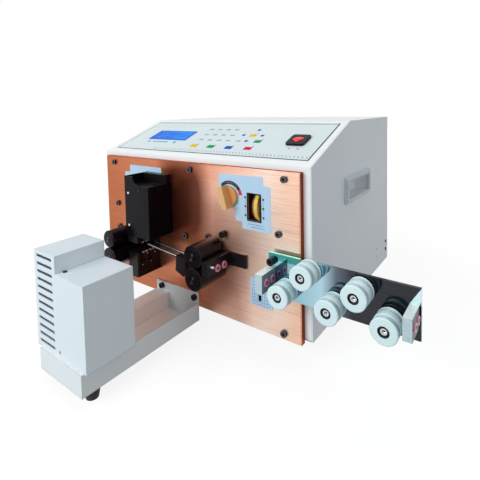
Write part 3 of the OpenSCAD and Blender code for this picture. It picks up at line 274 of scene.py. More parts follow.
pan = Finish("pan_screw_steel", Metallic=0.9)
pan.set("Base Color", pan.place.noise(500).blend(hue("b9bec3"), hue("8e949a")))
pan.set("Roughness", 0.26 + 0.2 * pan.place.noise(900))
pan.relief(pan.place.noise(2600), 0.00002)
push = Finish("push_rivet_black", Roughness=0.35, Specular_IOR_Level=0.3)
push.set("Base Color", push.place.noise(400).blend(hue("0b0b0e"), hue("18181c")))
push.relief(push.place.noise(2000), 0.00002)
WIDTH = 1000 * (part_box("side_panel_right")[1].x - corner.x)
DEPTH = 1000 * (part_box("side_panel_left")[1].y - corner.y)
HEIGHT = 1000 * (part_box("top_cover")[1].z - corner.z)
RIVET_RISES = (37, 21.5)
RIVET_BACK = 13
SIDE_SCREW_RISES = (40, 25.5)
SIDE_SCREW_BACK = 73
REAR_INSET = 8
right, left, back = Vector((1, 0, 0)), Vector((-1, 0, 0)), Vector((0, 1, 0))
for side, at, along in (("right", WIDTH, right), ("left", 0, left)):
    for number, rise in enumerate(RIVET_RISES):
        head = screw_head("rivet_%s_%d" % (side, number), spot(at, DEPTH - RIVET_BACK, rise),
                          along, 0.0031, 0.0011, 0.5)
        complete(head, "machine", push)
    for number, rise in enumerate(SIDE_SCREW_RISES):
        head = screw_head("side_screw_%s_%d" % (side, number),
                          spot(at, DEPTH - SIDE_SCREW_BACK, rise), along, 0.0017, 0.0007)
        complete(head, "machine", pan)
rear_places = [(x, z) for z in (REAR_INSET, HEIGHT - REAR_INSET)
               for x in (REAR_INSET, WIDTH / 2, WIDTH - REAR_INSET)]
first = screw_head("rear_screw_0", spot(REAR_INSET, DEPTH, REAR_INSET), back, 0.0034, 0.0018)
complete(first, "machine", pan)
for number, (x, z) in enumerate(rear_places[1:], 1):
    step = Vector((x - REAR_INSET, 0, z - REAR_INSET)) / 1000
    again(first, "rear_screw_%d" % number, Matrix.Translation(step), "machine")

# The fan behind the rear guard is one black moulding: a hub with seven pitched blades, turning
# in a round shroud.
FAN_R = 32
SHROUD_R = FAN_R + 3
HUB_R = 11
BLADES = 7
BLADE_OUT = 20
BLADE_LENGTH = 19
BLADE_PITCH = 38
FAN_MIDDLE = (WIDTH * 3 / 4, DEPTH - 9, HEIGHT * 2 / 3)
moulding = Finish("fan_black", Specular_IOR_Level=0.35)
moulding.set("Base Color", moulding.place.noise(90).blend(hue("1a1b1e"), hue("27282c")))
moulding.set("Roughness", 0.42 + 0.15 * moulding.place.noise(300))
moulding.relief(moulding.place.noise(1400), 0.00003)
middle = spot(*FAN_MIDDLE)
upright = (math.pi / 2, 0, 0)
shroud = begin("fan_shroud", "cylinder", middle, vertices=48, radius=SHROUD_R / 1000,
               depth=0.012, rotation=upright)
pick(shroud, lambda at, normal: abs(normal.y) > 0.9)
bpy.ops.mesh.inset(thickness=0.0018)
bpy.ops.mesh.bridge_edge_loops()
complete(shroud, "machine", moulding, 0.0004)
hub = begin("fan_hub", "cylinder", middle, vertices=32, radius=HUB_R / 1000, depth=0.010,
            rotation=upright)
pick(hub, lambda at, normal: normal.y > 0.9)
bpy.ops.mesh.bevel(offset=0.002, segments=3)
pick(hub, lambda at, normal: normal.y > 0.99)
bpy.ops.mesh.inset(thickness=0.003)
bpy.ops.mesh.extrude_region_move(TRANSFORM_OT_translate={"value": (0, -0.0012, 0)})
complete(hub, "machine", moulding)
blade_middle = middle + Vector((BLADE_OUT / 1000, 0, 0))
blade_tip = middle + Vector(((BLADE_OUT + BLADE_LENGTH / 2) / 1000, 0, 0))
blade = begin("fan_blade_0", "cube", blade_middle, (BLADE_LENGTH / 1000, 0.0011, 0.013))
pick(blade, lambda at, normal: True)
bpy.ops.mesh.subdivide(number_cuts=2)
pick(blade, lambda at, normal: normal.x > 0.9)
bpy.ops.transform.resize(value=(1, 1, 1.5), center_override=blade_tip)
pick(blade, lambda at, normal: True)
bpy.ops.transform.rotate(value=math.radians(BLADE_PITCH), orient_axis="X",
                         center_override=blade_middle)
complete(blade, "machine", moulding, 0.0003)
around = (Matrix.Translation(middle) @ Matrix.Rotation(math.tau / BLADES, 4, "Y")
          @ Matrix.Translation(-middle))
turn = around
for number in range(1, BLADES):
    again(blade, "fan_blade_%d" % number, turn, "machine")
    turn = turn @ around

# The fan's guard is black enamelled wire, and the power inlet is a black moulding. Both are part
# of the rear panel's node, so its coat changes at their places.
INLET = (WIDTH / 4, DEPTH - 8, 42)
INLET_HALF = (0.0252, 0.0142)
painted = powder_coat("rear_grey")
x, y, z = painted.place.split()
guard = (x - middle.x).hypot(z - middle.z) < FAN_R / 1000
inlet = x.near(spot(*INLET).x, INLET_HALF[0]) * z.near(spot(*INLET).z, INLET_HALF[1])
coat = painted.place.noise(9).blend(hue("e8eff5"), hue("dfe6ec"))
painted.set("Base Color", guard.or_(inlet).blend(coat, hue("17181b")))
painted.wear("rear_panel")

# The power inlet's three flat pins are nickel plated brass, and stand in the socket's well.
nickel = Finish("pin_nickel", Metallic=1.0)
nickel.set("Base Color", nickel.place.noise(300).blend(hue("d8d9d4"), hue("bfc0ba")))
nickel.set("Roughness", 0.18 + 0.12 * nickel.place.noise(700))
nickel.relief(nickel.place.noise(1800), 0.00001)
PIN_RISE = 2.5
PIN_APART = 0.009
PIN_DROP = 0.005
pin = begin("inlet_pin_0", "cube", spot(INLET[0], INLET[1], INLET[2] + PIN_RISE),
            (0.002, 0.011, 0.004))
pick(pin, lambda at, normal: normal.y > 0.9)
bpy.ops.mesh.bevel(offset=0.0006, segments=2)
complete(pin, "machine", nickel)
for number, side in enumerate((-1, 1), 1):
    again(pin, "inlet_pin_%d" % number,
          Matrix.Translation((side * PIN_APART, 0, -PIN_DROP)), "machine")

# Four moulded rubber feet carry the housing, and two smaller ones the arm. The rubber is matt
# black, with the fine grain of its mould and a little dust near the bench.
DUST_RISE = 0.02
grip = Finish("black_rubber")
height = grip.place.split()[2]
dust = (1 - height.node("MapRange", (), {"Value": height, "From Max": DUST_RISE})) * 0.10
grip.set("Base Color", dust.blend(hue("17171a"), hue("8d8a85")))
grip.set("Roughness", 0.72 + 0.2 * grip.place.noise(300))
grip.relief(grip.place.noise(1500), 0.00006, 0.0008)
grip.wear("housing_feet", "arm_feet")

# The floor of the housing, the brackets of the thumbwheel and the twister, and the power supply's
# box are zinc plated sheet, with the cloudy spangle of the plating. Little of them shows.
zinc = Finish("zinc_sheet", Metallic=0.8)
spangle = zinc.place.node("TexVoronoi", (), {"Vector": zinc.place, "Scale": 160.0}, 1)
tone = spangle.split()[0]
zinc.set("Base Color", tone.blend(hue("a9adb0"), hue("c3c7c9")))
zinc.set("Roughness", 0.38 + 0.2 * tone)
zinc.wear("base_plate", "thumbwheel_bracket", "power_supply", "twister_bracket")

# The recessed grips are grey moulded plastic with a fine spark-eroded grain. The cup behind the
# rim
# is painted paler than the rim: a painted light that brightens the recess.
RIM = 1.5
moulded = Finish("handle_grey")
x, y, z = moulded.place.split()
# The cup inside the rim is painted paler: painted light in the recess.
cup = x.near(spot(WIDTH / 2, 0, 0).x, (WIDTH / 2 - RIM) / 1000)
shell = moulded.place.noise(40).blend(hue("dbe4ea"), hue("cfd9e0"))
moulded.set("Base Color", cup.blend(shell, hue("f6f8fa")))
moulded.set("Roughness", 0.42 + 0.16 * moulded.place.noise(260))
moulded.relief(moulded.place.noise(1800), 0.00005, 0.0012)
moulded.wear("handle_left", "handle_right")

# The front plate is a 10 mm aluminium slab, brushed along its length and anodised copper. The
# brush leaves long fine lines and a few deeper ones, and the edges are darker. Its tone runs from
# orange at the left to pale cream at the right, partly its own colour and partly a painted glare.
# Two brown patches are painted shadow and painted reflection: the dark reflections and soft shade
# beside the cutter and below the inlet rollers.
PAINTED_SHADOWS = ((0.214, 0.162, 0.058, 0.088, 0.90), (0.296, 0.020, 0.050, 0.060, 0.35))
PLATE_EDGE = 0.0011
plate_low, plate_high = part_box("front_plate")
copper = Finish("copper_plate", Metallic=0.74, Specular_Tint=hue("f0a88c"))
lines = copper.place.noise(1.0, (9, 40, 2600), 3.0)
bands = copper.place.noise(1.0, (4, 5, 300), 4.0)
clouds = copper.place.noise(5.0, (1, 1, 2), 2.0)
scratch = copper.place.noise(1.0, (11, 10, 1150), 2.0) > 0.61
x, y, z = copper.place.split()
along = (x - plate_low.x) / (plate_high.x - plate_low.x) + 0.5 * (clouds - 0.5)
# Orange to pale cream along the plate: partly its own tone, partly a painted glare on the right.
painted_glare = along.ramp((0.0, "c67b58"), (0.3, "d58c69"), (0.5, "e6926f"), (0.7, "fbcab2"),
                   (0.9, "ffeada"), (1.0, "fdd6bc"))
fade = 1 - 0.6 * along
tone = ((0.42 * lines + 0.34 * bands) * fade).blend(painted_glare, hue("a85b3e"))
tone = (0.28 * scratch).blend(tone, hue("9c5238"))
# Each brown patch is a painted shadow and painted reflection, darkest at its middle.
for middle_x, middle_z, reach_x, reach_z, depth in PAINTED_SHADOWS:
    dx = (x - corner.x - middle_x) / reach_x
    dz = (z - corner.z - middle_z) / reach_z
    squarish = (dx * dx).hypot(dz * dz).root()
    painted_shadow = (1.1 - squarish + 0.5 * (clouds - 0.5)).or_(0) * 2.0
    tone = (depth * (1 - (1 - painted_shadow).or_(0))).blend(tone, hue("541c10"))
sides = y > plate_low.y + PLATE_EDGE
copper.set("Base Color", sides.blend(tone, hue("8a4430")))
copper.set("Roughness", 0.24 + 0.06 * lines + 0.05 * bands)
copper.relief(0.7 * lines + 0.3 * bands, 0.00007)
copper.wear("front_plate")

# Socket cap screws hold the plate, the straightener and the arm. They are black oxide steel, and
# the plate's own have a painted grey highlight on their faces.
HEAD_FACE = 0.0007
oxide = Finish("black_screw", Metallic=0.5, Specular_IOR_Level=0.4)
oxide.set("Base Color", oxide.place.noise(600).blend(hue("121114"), hue("242328")))
oxide.set("Roughness", 0.28 + 0.25 * oxide.place.noise(900))
oxide.relief(oxide.place.noise(2500), 0.00003, 0.0005)
oxide.wear("arm_bolts", "straightener_mounts")
highlit_screw = Finish("plate_screw_black", Metallic=0.4, Specular_IOR_Level=0.3)
# The grey on the heads' faces is a painted highlight.
face = highlit_screw.place.split()[1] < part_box("plate_screws")[0].y + HEAD_FACE
painted_highlight = highlit_screw.place.noise(900).blend(hue("3e3e44"), hue("5e5e66"))
highlit_screw.set("Base Color", face.blend(hue("0b0a0c"), painted_highlight))
highlit_screw.set("Roughness", 0.3 + 0.2 * highlit_screw.place.noise(700))
highlit_screw.relief(highlit_screw.place.noise(2500), 0.00002)
highlit_screw.wear("plate_screws")

# The control board is a printed film on a pale backing, let into the slope with a dark joint round
# it. Its print is a teal rule near the top, a dashed rule low down, small grey and cyan marks, and
# coloured fields under the keys.
SLOPE_RUN = 0.143
SLOPE_RISE = 0.055
SHEET = 0.002
slope_angle = math.atan2(SLOPE_RISE, SLOPE_RUN)
cover_low, cover_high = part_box("top_cover")
slope_foot = Vector((cover_low.x - SHEET, cover_low.y, cover_high.z - SLOPE_RISE))


def on_slope(finish):
    """Millimetres along the front and up the slope, as two flows."""
    place = finish.place.node("Mapping", {"vector_type": "TEXTURE"}, {
        "Vector": finish.place, "Location": slope_foot, "Rotation": (slope_angle, 0, 0),
        "Scale": (0.001, 0.001, 0.001)})
    return place.split()[:2]


def union(masks):
    """The places where any of several masks is 1."""
    whole = masks[0]
    for mask in masks[1:]:
        whole = whole.or_(mask)
    return whole


BOARD_END, BOARD_LOW, BOARD_HIGH = 424.9, 19.8, 142.7
RULE_S = 139.8
DASH_S = 26.5
DASH_STEP = 6.4
CYAN_S = 52
CYAN_MARKS = ((68.8, 3.2, 3.2), (138.7, 3.6, 3.2), (99.6, 21, 2.0))
SWITCH_S = 50.5
SWITCH_MARKS = ((381, 1.6), (395.5, 2.0))
MARK_ROWS = ((185, 4, 112), (189, 4, 89), (193, 5, 68))
MARK_STEP = 19.5
YELLOW, GREEN, BLUE, RED = "f0c820", "18a05f", "1560c8", "d82048"
FIELDS = ((196.4, 43, YELLOW), (235, 43, GREEN), (273, 43, BLUE), (311.3, 44, RED),
          (291.6, 91.5, YELLOW), (314, 69.4, GREEN))
film = Finish("membrane", Roughness=0.38)
x, s = on_slope(film)
rules = s.near(RULE_S, 0.8)
joint = (x > BOARD_END).or_(s < BOARD_LOW).or_(s > BOARD_HIGH)
dots = film.place.noise(560) > 0.44
marks = []
for row, (first, count, height) in enumerate(MARK_ROWS):
    step = MARK_STEP + row * 0.6
    column = (x - (first - step / 2)) % step
    inside = x.near(first + step * (count - 1) / 2, step * count / 2)
    marks.append(column.near(step / 2, 4.8) * s.near(height, 2.2) * inside * dots)
marks += [x.near(at, reach) * s.near(SWITCH_S, 1.3) for at, reach in SWITCH_MARKS]
cyan = union([x.near(at, reach) * s.near(CYAN_S, rise) for at, reach, rise in CYAN_MARKS])
dashes = ((x % DASH_STEP) < DASH_STEP / 2) * s.near(DASH_S, 1.6) * (x > 112)
base = film.place.noise(14).blend(hue("dfeaec"), hue("d3e1e4"))
base = (0.85 * union(marks)).blend(base, hue("22363f"))
base = cyan.blend(base, hue("2b9fca"))
base = (0.7 * s.near(DASH_S, 2.4) * (x > 108)).blend(base, hue("8fa9b2"))
base = dashes.blend(base, hue("f6fbfc"))
for key_x, key_s, code in FIELDS:
    key = x.near(key_x, 7.0) * s.near(key_s, 5.0)
    tick = x.near(key_x + 5, 1.1) * s.near(key_s + 7.4, 1.0)
    base = tick.blend(key.blend(base, hue(code)), hue("263b52"))
base = rules.blend(base, hue("5d9094"))
film.set("Base Color", joint.blend(base, hue("1c2a2e")))
film.relief(film.place.noise(900), 0.00002, 0.0005)
film.wear("membrane_board")

# The display is a blue negative panel behind a glossy window. It glows a little, and shows rows
# of short pale bars in place of figures.
SCREEN_X, SCREEN_S = 108, 80.5
SCREEN_LEFT, SCREEN_WIDTH = 58, 90
FIRST_CELL, FIRST_ROW = 60, 66
ROW_STEP, CELL_STEP = 8.0, 4.4
screen = Finish("display", Roughness=0.3, Specular_IOR_Level=0.03, Emission_Strength=0.3)
x, s = on_slope(screen)
row = ((s - FIRST_ROW) % ROW_STEP).near(ROW_STEP / 2, 1.1)
cell = ((x - FIRST_CELL) % CELL_STEP) > 1.2
words = screen.place.noise(70, (1, 3, 1)) > 0.50
inside = x.near(SCREEN_X, 44) * s.near(SCREEN_S, 15)
bars = row * cell * words * inside
edge = 1 - x.near(SCREEN_X, 48.5) * s.near(SCREEN_S, 17.5)
tint = ((x - SCREEN_LEFT) / SCREEN_WIDTH).blend(hue("0e5fcc"), hue("0278da"))
blue = (0.2 * bars).blend(tint, hue("bfe0ff"))
blue = edge.blend(blue, hue("1c4da6"))
screen.set("Base Color", blue)
screen.set("Emission Color", blue)
screen.relief(screen.place.noise(500), 0.00001, 0.0004)
screen.wear("display_window")

# The keys are low pads pressed up in the film and printed in four colours. One material finds
# each pad's colour from its place on the slope.
LOW_ROW_TOP = 50
pads = Finish("key_film", Roughness=0.5, Specular_IOR_Level=0.04)
x, s = on_slope(pads)
low_row = s < LOW_ROW_TOP
colour = low_row.blend(hue(BLUE), hue(YELLOW))
for from_x, code in ((215, GREEN), (253, BLUE), (292, RED)):
    colour = (low_row * (x > from_x)).blend(colour, hue(code))
colour = ((1 - low_row) * x.near(291.5, 6) * s.near(91, 6)).blend(colour, hue(YELLOW))
colour = ((1 - low_row) * (x > 305) * (s < 80)).blend(colour, hue(GREEN))
pads.set("Base Color", (0.1 * pads.place.noise(300)).blend(colour, hue("30302c")))
pads.relief(pads.place.noise(1200), 0.00002, 0.0004)
pads.wear("key_pads")

# The mains switch has a square black bezel and a round red rocker that lets a lamp shine
# through. Both are glossy mouldings, and so is the pressure knob.
bezel = Finish("black_plastic", Specular_IOR_Level=0.1)
bezel.set("Base Color", bezel.place.noise(120).blend(hue("0e0d11"), hue("19181d")))
bezel.set("Roughness", 0.26 + 0.14 * bezel.place.noise(240))
bezel.relief(bezel.place.noise(1600), 0.00002, 0.0009)
bezel.wear("switch_bezel", "pressure_knob")
LAMP_X, LAMP_S, LAMP_R = 384.5, 76.5, 9
rocker = Finish("rocker_red", Roughness=0.16, Specular_IOR_Level=0.3, Emission_Strength=0.2)
x, s = on_slope(rocker)
lamp = (x - LAMP_X).hypot(s - LAMP_S) / LAMP_R
glow = lamp.blend(hue("ff2a30"), hue("c20a18"))
rocker.set("Base Color", glow)
rocker.set("Emission Color", glow)
rocker.relief(rocker.place.noise(700), 0.00002, 0.0006)
rocker.wear("power_rocker")

# The mode knob is one tan moulding: a disc with a thick grip bar across it. Its bar is painted
# paler along the top, a painted highlight.
KNOB_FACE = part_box("mode_knob")[0].y
knob = Finish("knob_tan")
depth = knob.place.split()[1]
# The bar's top is painted paler: a painted highlight.
top = depth < KNOB_FACE + 0.0006
skin = knob.place.noise(70).blend(hue("e2a35f"), hue("d3924e"))
knob.set("Base Color", (0.55 * top).blend(skin, hue("f2c48c")))
knob.set("Roughness", 0.30 + 0.14 * knob.place.noise(200))
knob.relief(knob.place.noise(1300), 0.00003, 0.0009)
knob.wear("mode_knob")

# The thumbwheel is a ribbed disc of soft yellow plastic that stands out of a window in the
# plate. Its left flank is brown in the window's shade.
FLANK = 0.0026
ribs = Finish("wheel_yellow")
x, y, z = ribs.place.split()
rim = ribs.place.noise(130).blend(hue("f0cf62"), hue("dfb648"))
ribs.set("Base Color", (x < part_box("thumbwheel")[0].x + FLANK).blend(rim, hue("7d4527")))
ribs.set("Roughness", 0.4 + 0.2 * ribs.place.noise(300))
ribs.relief(ribs.place.noise(1500), 0.00003, 0.0004)
ribs.wear("thumbwheel")

# Both pairs of feed rollers are hardened steel, blacked, with fine knurled teeth along the
# barrel, drawn as relief, and a plain turned face at the front with two painted pale glints.
FLUTES = 90
FACE_DEPTH = 0.004


def knurled(name):
    """Blacked steel with flutes round an axis along Y through the node's middle."""
    low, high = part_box(name)
    steel = Finish("roller_black_" + name, Metallic=0.6, Specular_IOR_Level=0.3)
    x, y, z = steel.place.split()
    turn = (z - (low.z + high.z) / 2).math("ARCTAN2", x - (low.x + high.x) / 2)
    flutes = (turn * (FLUTES / math.tau)).math("PINGPONG", 0.5) * 2
    band = y > low.y + FACE_DEPTH
    lobe = (turn * (2 / math.tau) + 0.12).math("PINGPONG", 0.5) * 2
    tint = steel.place.noise(40).blend(hue("120d10"), hue("21181c"))
    # Two pale lobes on the front face are a painted highlight.
    painted_glint = 0.5 * lobe * lobe * lobe * lobe * (y < low.y + 0.0004)
    steel.set("Base Color", painted_glint.blend(tint, hue("8d82a0")))
    steel.set("Roughness", 0.16 + 0.08 * steel.place.noise(60))
    steel.relief(flutes * band, 0.00003, 0.0006)
    return steel


for name in ("inlet_lower_roller", "inlet_upper_roller", "outlet_lower_roller",
             "outlet_upper_roller"):
    knurled(name).wear(name)

# The carriages, the tube holder, the blade holders and the cutter's frame are milled aluminium,
# anodised black. The mill leaves faint arcs, and edges look a little rounded.
anodised = Finish("black_metal", Metallic=0.2, Specular_IOR_Level=0.25)
arcs = anodised.place.node("TexWave", {"bands_direction": "DIAGONAL"}, {
    "Vector": anodised.place, "Scale": 260.0, "Distortion": 3.0})
anodised.set("Base Color", anodised.place.noise(60).blend(hue("0f0b0d"), hue("1c1619")))
anodised.set("Roughness", 0.24 + 0.14 * anodised.place.noise(150))
anodised.relief(arcs, 0.00002, 0.0006)
anodised.wear("inlet_carriage", "outlet_carriage", "tube_holder", "cutter_bracket",
              "upper_blade_holder", "lower_blade_holder")

# The guide bar is a black anodised block on a thin foot that two black screws hold. A bright
# steel stop pin stands out of its side.
BAR_WIDTH = 0.0102
BAR_FOOT = 0.02
bar_low, bar_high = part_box("inlet_guide_bar")
fitted = Finish("bar_metal", Specular_IOR_Level=0.25)
x, y, z = fitted.place.split()
bright = (x > bar_low.x + BAR_WIDTH) * (y < bar_high.y - BAR_FOOT)
black = fitted.place.noise(60).blend(hue("0f0b0d"), hue("1c1619"))
fitted.set("Base Color", bright.blend(black, hue("d4dbe4")))
fitted.set("Metallic", 0.2 + 0.75 * bright)
fitted.set("Roughness", 0.24 + 0.12 * fitted.place.noise(150))
fitted.relief(fitted.place.noise(1300), 0.00002, 0.0005)
fitted.wear("inlet_guide_bar")

# The eyelets that lead the wires are glazed alumina, fired pink.
glaze = Finish("pink_ceramic", Roughness=0.16, Coat_Weight=0.5)
glaze.set("Base Color", glaze.place.noise(300).blend(hue("d983a6"), hue("c96d94")))
glaze.relief(glaze.place.noise(900), 0.00002, 0.0006)
glaze.wear("inlet_eyelets", "block_eyelets")

# The guide tubes and the pinion are drawn stainless steel, polished along their length, and
# painted dark where they face down: a painted dark reflection. The twister's head is ground tool
# steel.
drawn = Finish("tube_steel", Metallic=0.95)
grain = drawn.place.noise(1.0, (12, 2200, 2200))
facing = drawn.place.node("NewGeometry", output="Normal").split()[2]
tone = grain.blend(hue("e6e9eb"), hue("c4c8cc"))
# Where the normal points down the steel is painted dark, a painted reflection.
drawn.set("Base Color", (facing * 2.2 - 0.5).blend(hue("2b2a2e"), tone))
drawn.set("Roughness", 0.07 + 0.08 * grain)
drawn.relief(grain, 0.00001, 0.0003)
drawn.wear("guide_tubes", "cutter_pinion")
ground = Finish("blade_steel", Metallic=0.95)
grain = ground.place.noise(1.0, (60, 60, 3000))
ground.set("Base Color", grain.blend(hue("cfd3d8"), hue("a3a8ae")))
ground.set("Roughness", 0.2 + 0.2 * grain)
ground.relief(grain, 0.00001, 0.0004)
ground.wear("twister_head")

# The blades are blued tool steel, bright only where their cutting edges were ground. Small screws
# with bright heads clamp them. A known fault: lean is a node's corner and not a direction, so
# these heads stand askew and have no recess.
GROUND = 0.0022
BLADE_SCREWS = ((-39.1, 75.4, 1.5), (-23.8, 73.4, 1.2), (-33.1, 60.4, 1.2), (-50.1, 59.4, 1.4))
blued = Finish("blade_blued", Metallic=0.7, Specular_IOR_Level=0.3)
x, y, z = blued.place.split()
keen = z.near(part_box("upper_blades")[0].z, GROUND)
keen = keen.or_(z.near(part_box("lower_blades")[1].z, GROUND))
honed = blued.place.noise(1.0, (60, 3000, 60))
dull = honed.blend(hue("231a1c"), hue("33262a"))
blued.set("Base Color", keen.blend(dull, hue("c9ccd2")))
blued.set("Roughness", 0.22 + 0.14 * honed)
blued.relief(honed, 0.00001, 0.0003)
blued.wear("upper_blades", "lower_blades")
BLADE_X = 1000 * (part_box("lower_blades")[1].x - corner.x)
BLADE_SCREW_IN = 2.4
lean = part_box("key_pads")[1]
for number, (y, z, radius) in enumerate(BLADE_SCREWS):
    head = screw_head("blade_screw_%d" % number, spot(BLADE_X - BLADE_SCREW_IN, y, z), lean,
                      radius / 1000, 0.0012)
    complete(head, "lower_cutter", pan)

# The cutter's cover is folded steel sheet, sprayed satin black. Two white screws and a dark one
# hold it.
sprayed = Finish("cover_black", Specular_IOR_Level=0.1)
sprayed.set("Base Color", sprayed.place.noise(20).blend(hue("090609"), hue("110d15")))
sprayed.set("Roughness", 0.2 + 0.06 * sprayed.place.noise(30))
sprayed.relief(sprayed.place.noise(1400), 0.00002, 0.0012)
sprayed.wear("cutter_cover")
plated = Finish("screw_white", Metallic=0.35, Roughness=0.3)
dark = plated.place.split()[0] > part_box("cover_screws")[1].x - 0.006
plated.set("Base Color", dark.blend(hue("f4f5f6"), hue("1d1d22")))
plated.relief(plated.place.noise(800), 0.00002, 0.0005)
plated.wear("cover_screws")

# The arm is one folded sheet and the twister's cover is a boxed one, both powder coated white
# with a blue cast. Their folds are softly rounded. The arm's trough is tinted warm, for the light
# that the copper throws into it.
FOLD = 0.0015
arm = powder_coat("arm_white", edge=0.002)
arm_low, arm_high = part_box("arm_tray")
x, y, z = arm.place.split()
trough = x.near((arm_low.x + arm_high.x) / 2, (arm_high.x - arm_low.x) / 2 - FOLD)
trough = trough * (y > arm_low.y + 0.0022) * (y < arm_high.y - 0.006) * (z > arm_low.z + 0.0003)
shell = arm.place.noise(9).blend(hue("e9f0f3"), hue("e0e7ea"))
warm = arm.place.noise(9).blend(hue("fff4ee"), hue("fde9e0"))
arm.set("Base Color", trough.blend(shell, warm))
arm.wear("arm_tray")
powder_coat("box_white", "e4f0f6", 0.0026).wear("twister_cover")

# A dark blue woven sheet on a stiff rim lies behind the twister's slots: a painted shade for the
# dark inside of the box. Two small screws hold the cover: one low at the front, beside the slots,
# and one on the lower top.
gauze = Finish("painted_shade_gauze", Roughness=0.7)
threads = gauze.place.node("TexChecker", (), {"Vector": gauze.place, "Scale": 1100.0}, 1)
gauze.set("Base Color", threads.blend(hue("0d1c33"), hue("1c3357")))
gauze.relief(threads, 0.0001)
box_low, box_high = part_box("twister_cover")
SLOT_X = (5.0, 45.0)
SLOT_Z = (4.5, 128.0)
FILTER_Y = (1.6, 2.4)
COVER_SCREW_X = (0.0556, 0.056)
low = box_low + Vector((SLOT_X[0], FILTER_Y[0], SLOT_Z[0])) / 1000
high = box_low + Vector((SLOT_X[1], FILTER_Y[1], SLOT_Z[1])) / 1000
# The dark sheet behind the slots stands in for the shade inside the box.
gauze_sheet = begin("painted_shade_sheet", "cube", (low + high) / 2, high - low)
pick(gauze_sheet, lambda at, normal: abs(normal.y) > 0.9)
bpy.ops.mesh.inset(thickness=0.0006)
bpy.ops.mesh.inset(thickness=0.0004, depth=-0.0002)
complete(gauze_sheet, "machine", gauze)
low_screw = screw_head("box_screw_front", box_low + Vector((COVER_SCREW_X[0], 0, 0.008)),
                       Vector((0, -1, 0)), 0.0019, 0.0008)
complete(low_screw, "machine", pan)
top_place = Vector((box_low.x + COVER_SCREW_X[1], box_low.y + 0.011, box_high.z - 0.0225))
top_screw = screw_head("box_screw_top", top_place, Vector((0, 0, 1)), 0.0028, 0.0012)
complete(top_screw, "machine", push)

# The straightener's plate is polished stainless with fine rolling marks. Its colour is a painted
# reflection: blue near the housing with a teal band along the top there, and darker towards its
# end.
# A pale slanted patch is a painted reflection of the outer guide block's top, mirrored in the
# plate.
TEAL_REACH = (0.05, 0.009)
mirror = Finish("polished_plate", Metallic=1.0)
plate_from, plate_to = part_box("straightener_plate")
x, y, z = mirror.place.split()
along = (x - plate_from.x) / (plate_to.x - plate_from.x)
rolled = mirror.place.noise(1.0, (10, 40, 1500))
# Painted reflection: blue near the housing, dark towards the end.
painted_reflection = along.ramp((0.0, "8fbcc4"), (0.08, "84b4c0"), (0.16, "86b9c6"), (0.40, "b2d6e4"),
                 (0.50, "5c6a78"), (0.60, "282c33"), (1.0, "22262c"))
# The teal band at the top near the housing is painted reflection too.
teal = (x < plate_from.x + TEAL_REACH[0]) * (z > plate_to.z - TEAL_REACH[1])
painted_reflection = teal.blend(painted_reflection, hue("35908a"))
block_from, block_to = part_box("guide_block_outer")
slant = (plate_to.z - block_to.z) / (plate_to.x - block_from.x)
# The pale slanted patch is a painted reflection of the outer block's top.
painted_block_reflection = (z > block_to.z) * ((x - block_from.x) * slant > z - block_to.z)
painted_reflection = painted_block_reflection.blend((0.05 * rolled).blend(painted_reflection, hue("ffffff")), hue("cfe2e4"))
mirror.set("Base Color", painted_reflection)
mirror.set("Roughness", 0.04 + 0.05 * rolled)
mirror.relief(rolled, 0.000004, 0.0004)
mirror.wear("straightener_plate")

# The guide blocks are milled aluminium with a hammered light blue paint. Their tops are painted
# paler, a painted highlight, and the face that the wires come in by is painted darker grey, a
# painted shade.
hammered = Finish("block_blue", Roughness=0.4)
dents = hammered.place.node("TexVoronoi", {"feature": "SMOOTH_F1"}, {
    "Vector": hammered.place, "Scale": 700.0})
facing = hammered.place.node("NewGeometry", output="True Normal").split()
# Tops painted paler and right faces painted darker: painted light and shade.
painted_shade_right, painted_light_top = facing[0] > 0.7, facing[2] > 0.7
paint = hammered.place.noise(260, (1, 1, 1), 4.0).blend(hue("d2e4e8"), hue("a8c2ca"))
paint = painted_light_top.blend(paint, hue("e6f6f6"))
hammered.set("Base Color", painted_shade_right.blend(paint, hue("6d7680")))
hammered.relief(dents, 0.0001, 0.0008)
hammered.wear("guide_block_inner", "guide_block_outer")


# The straightening rollers are turned from a pale, slightly green nylon. Turning leaves fine
# rings on the face and round the grooves. The counterbore round the bolt and the bottoms of the
# grooves are painted darker, a painted shade.
def off_axis(x, z, name):
    """The distance from a line along Y through the middle of a node."""
    low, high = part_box(name)
    return (x - (low.x + high.x) / 2).hypot(z - (low.z + high.z) / 2)


ROLLERS = ["straightener_roller_%d" % number for number in range(1, 6)]
RING_RATE = 2600
WELL_R = 0.0068
for number, name in enumerate(ROLLERS, 1):
    low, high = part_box(name)
    nylon = Finish("roller_pale_%d" % number)
    x, y, z = nylon.place.split()
    radius = off_axis(x, z, name)
    rings = (radius * RING_RATE + y * RING_RATE).math("SINE")
    # The counterbore and the groove bottoms are painted darker: painted shade.
    well = (radius < WELL_R) * (y > low.y + 0.0003)
    groove = (radius < (high.x - low.x) / 2 - 0.0006) * (y > low.y + 0.002)
    body = nylon.place.noise(45).blend(hue("e6fafc"), hue("d8f2f6"))
    body = (0.5 * groove).blend(body, hue("7b9299"))
    nylon.set("Base Color", well.blend(body, hue("596268")))
    nylon.set("Roughness", 0.34 + 0.1 * nylon.place.noise(200))
    nylon.relief(rings * 0.5 + 0.5, 0.00002, 0.0007)
    nylon.wear(name)

# Each roller turns on a shouldered bolt. Its face is turned bright. The rim round it is painted
# dark
# and the hexagon socket darker still: painted shade in the roller's counterbore and in the socket.
BOLT_FACE_R = 0.0036
SOCKET_R = 0.0017
shoulder = Finish("bolt_steel", Metallic=0.9)
x, y, z = shoulder.place.split()
from_bolts = [off_axis(x, z, name) for name in ROLLERS]
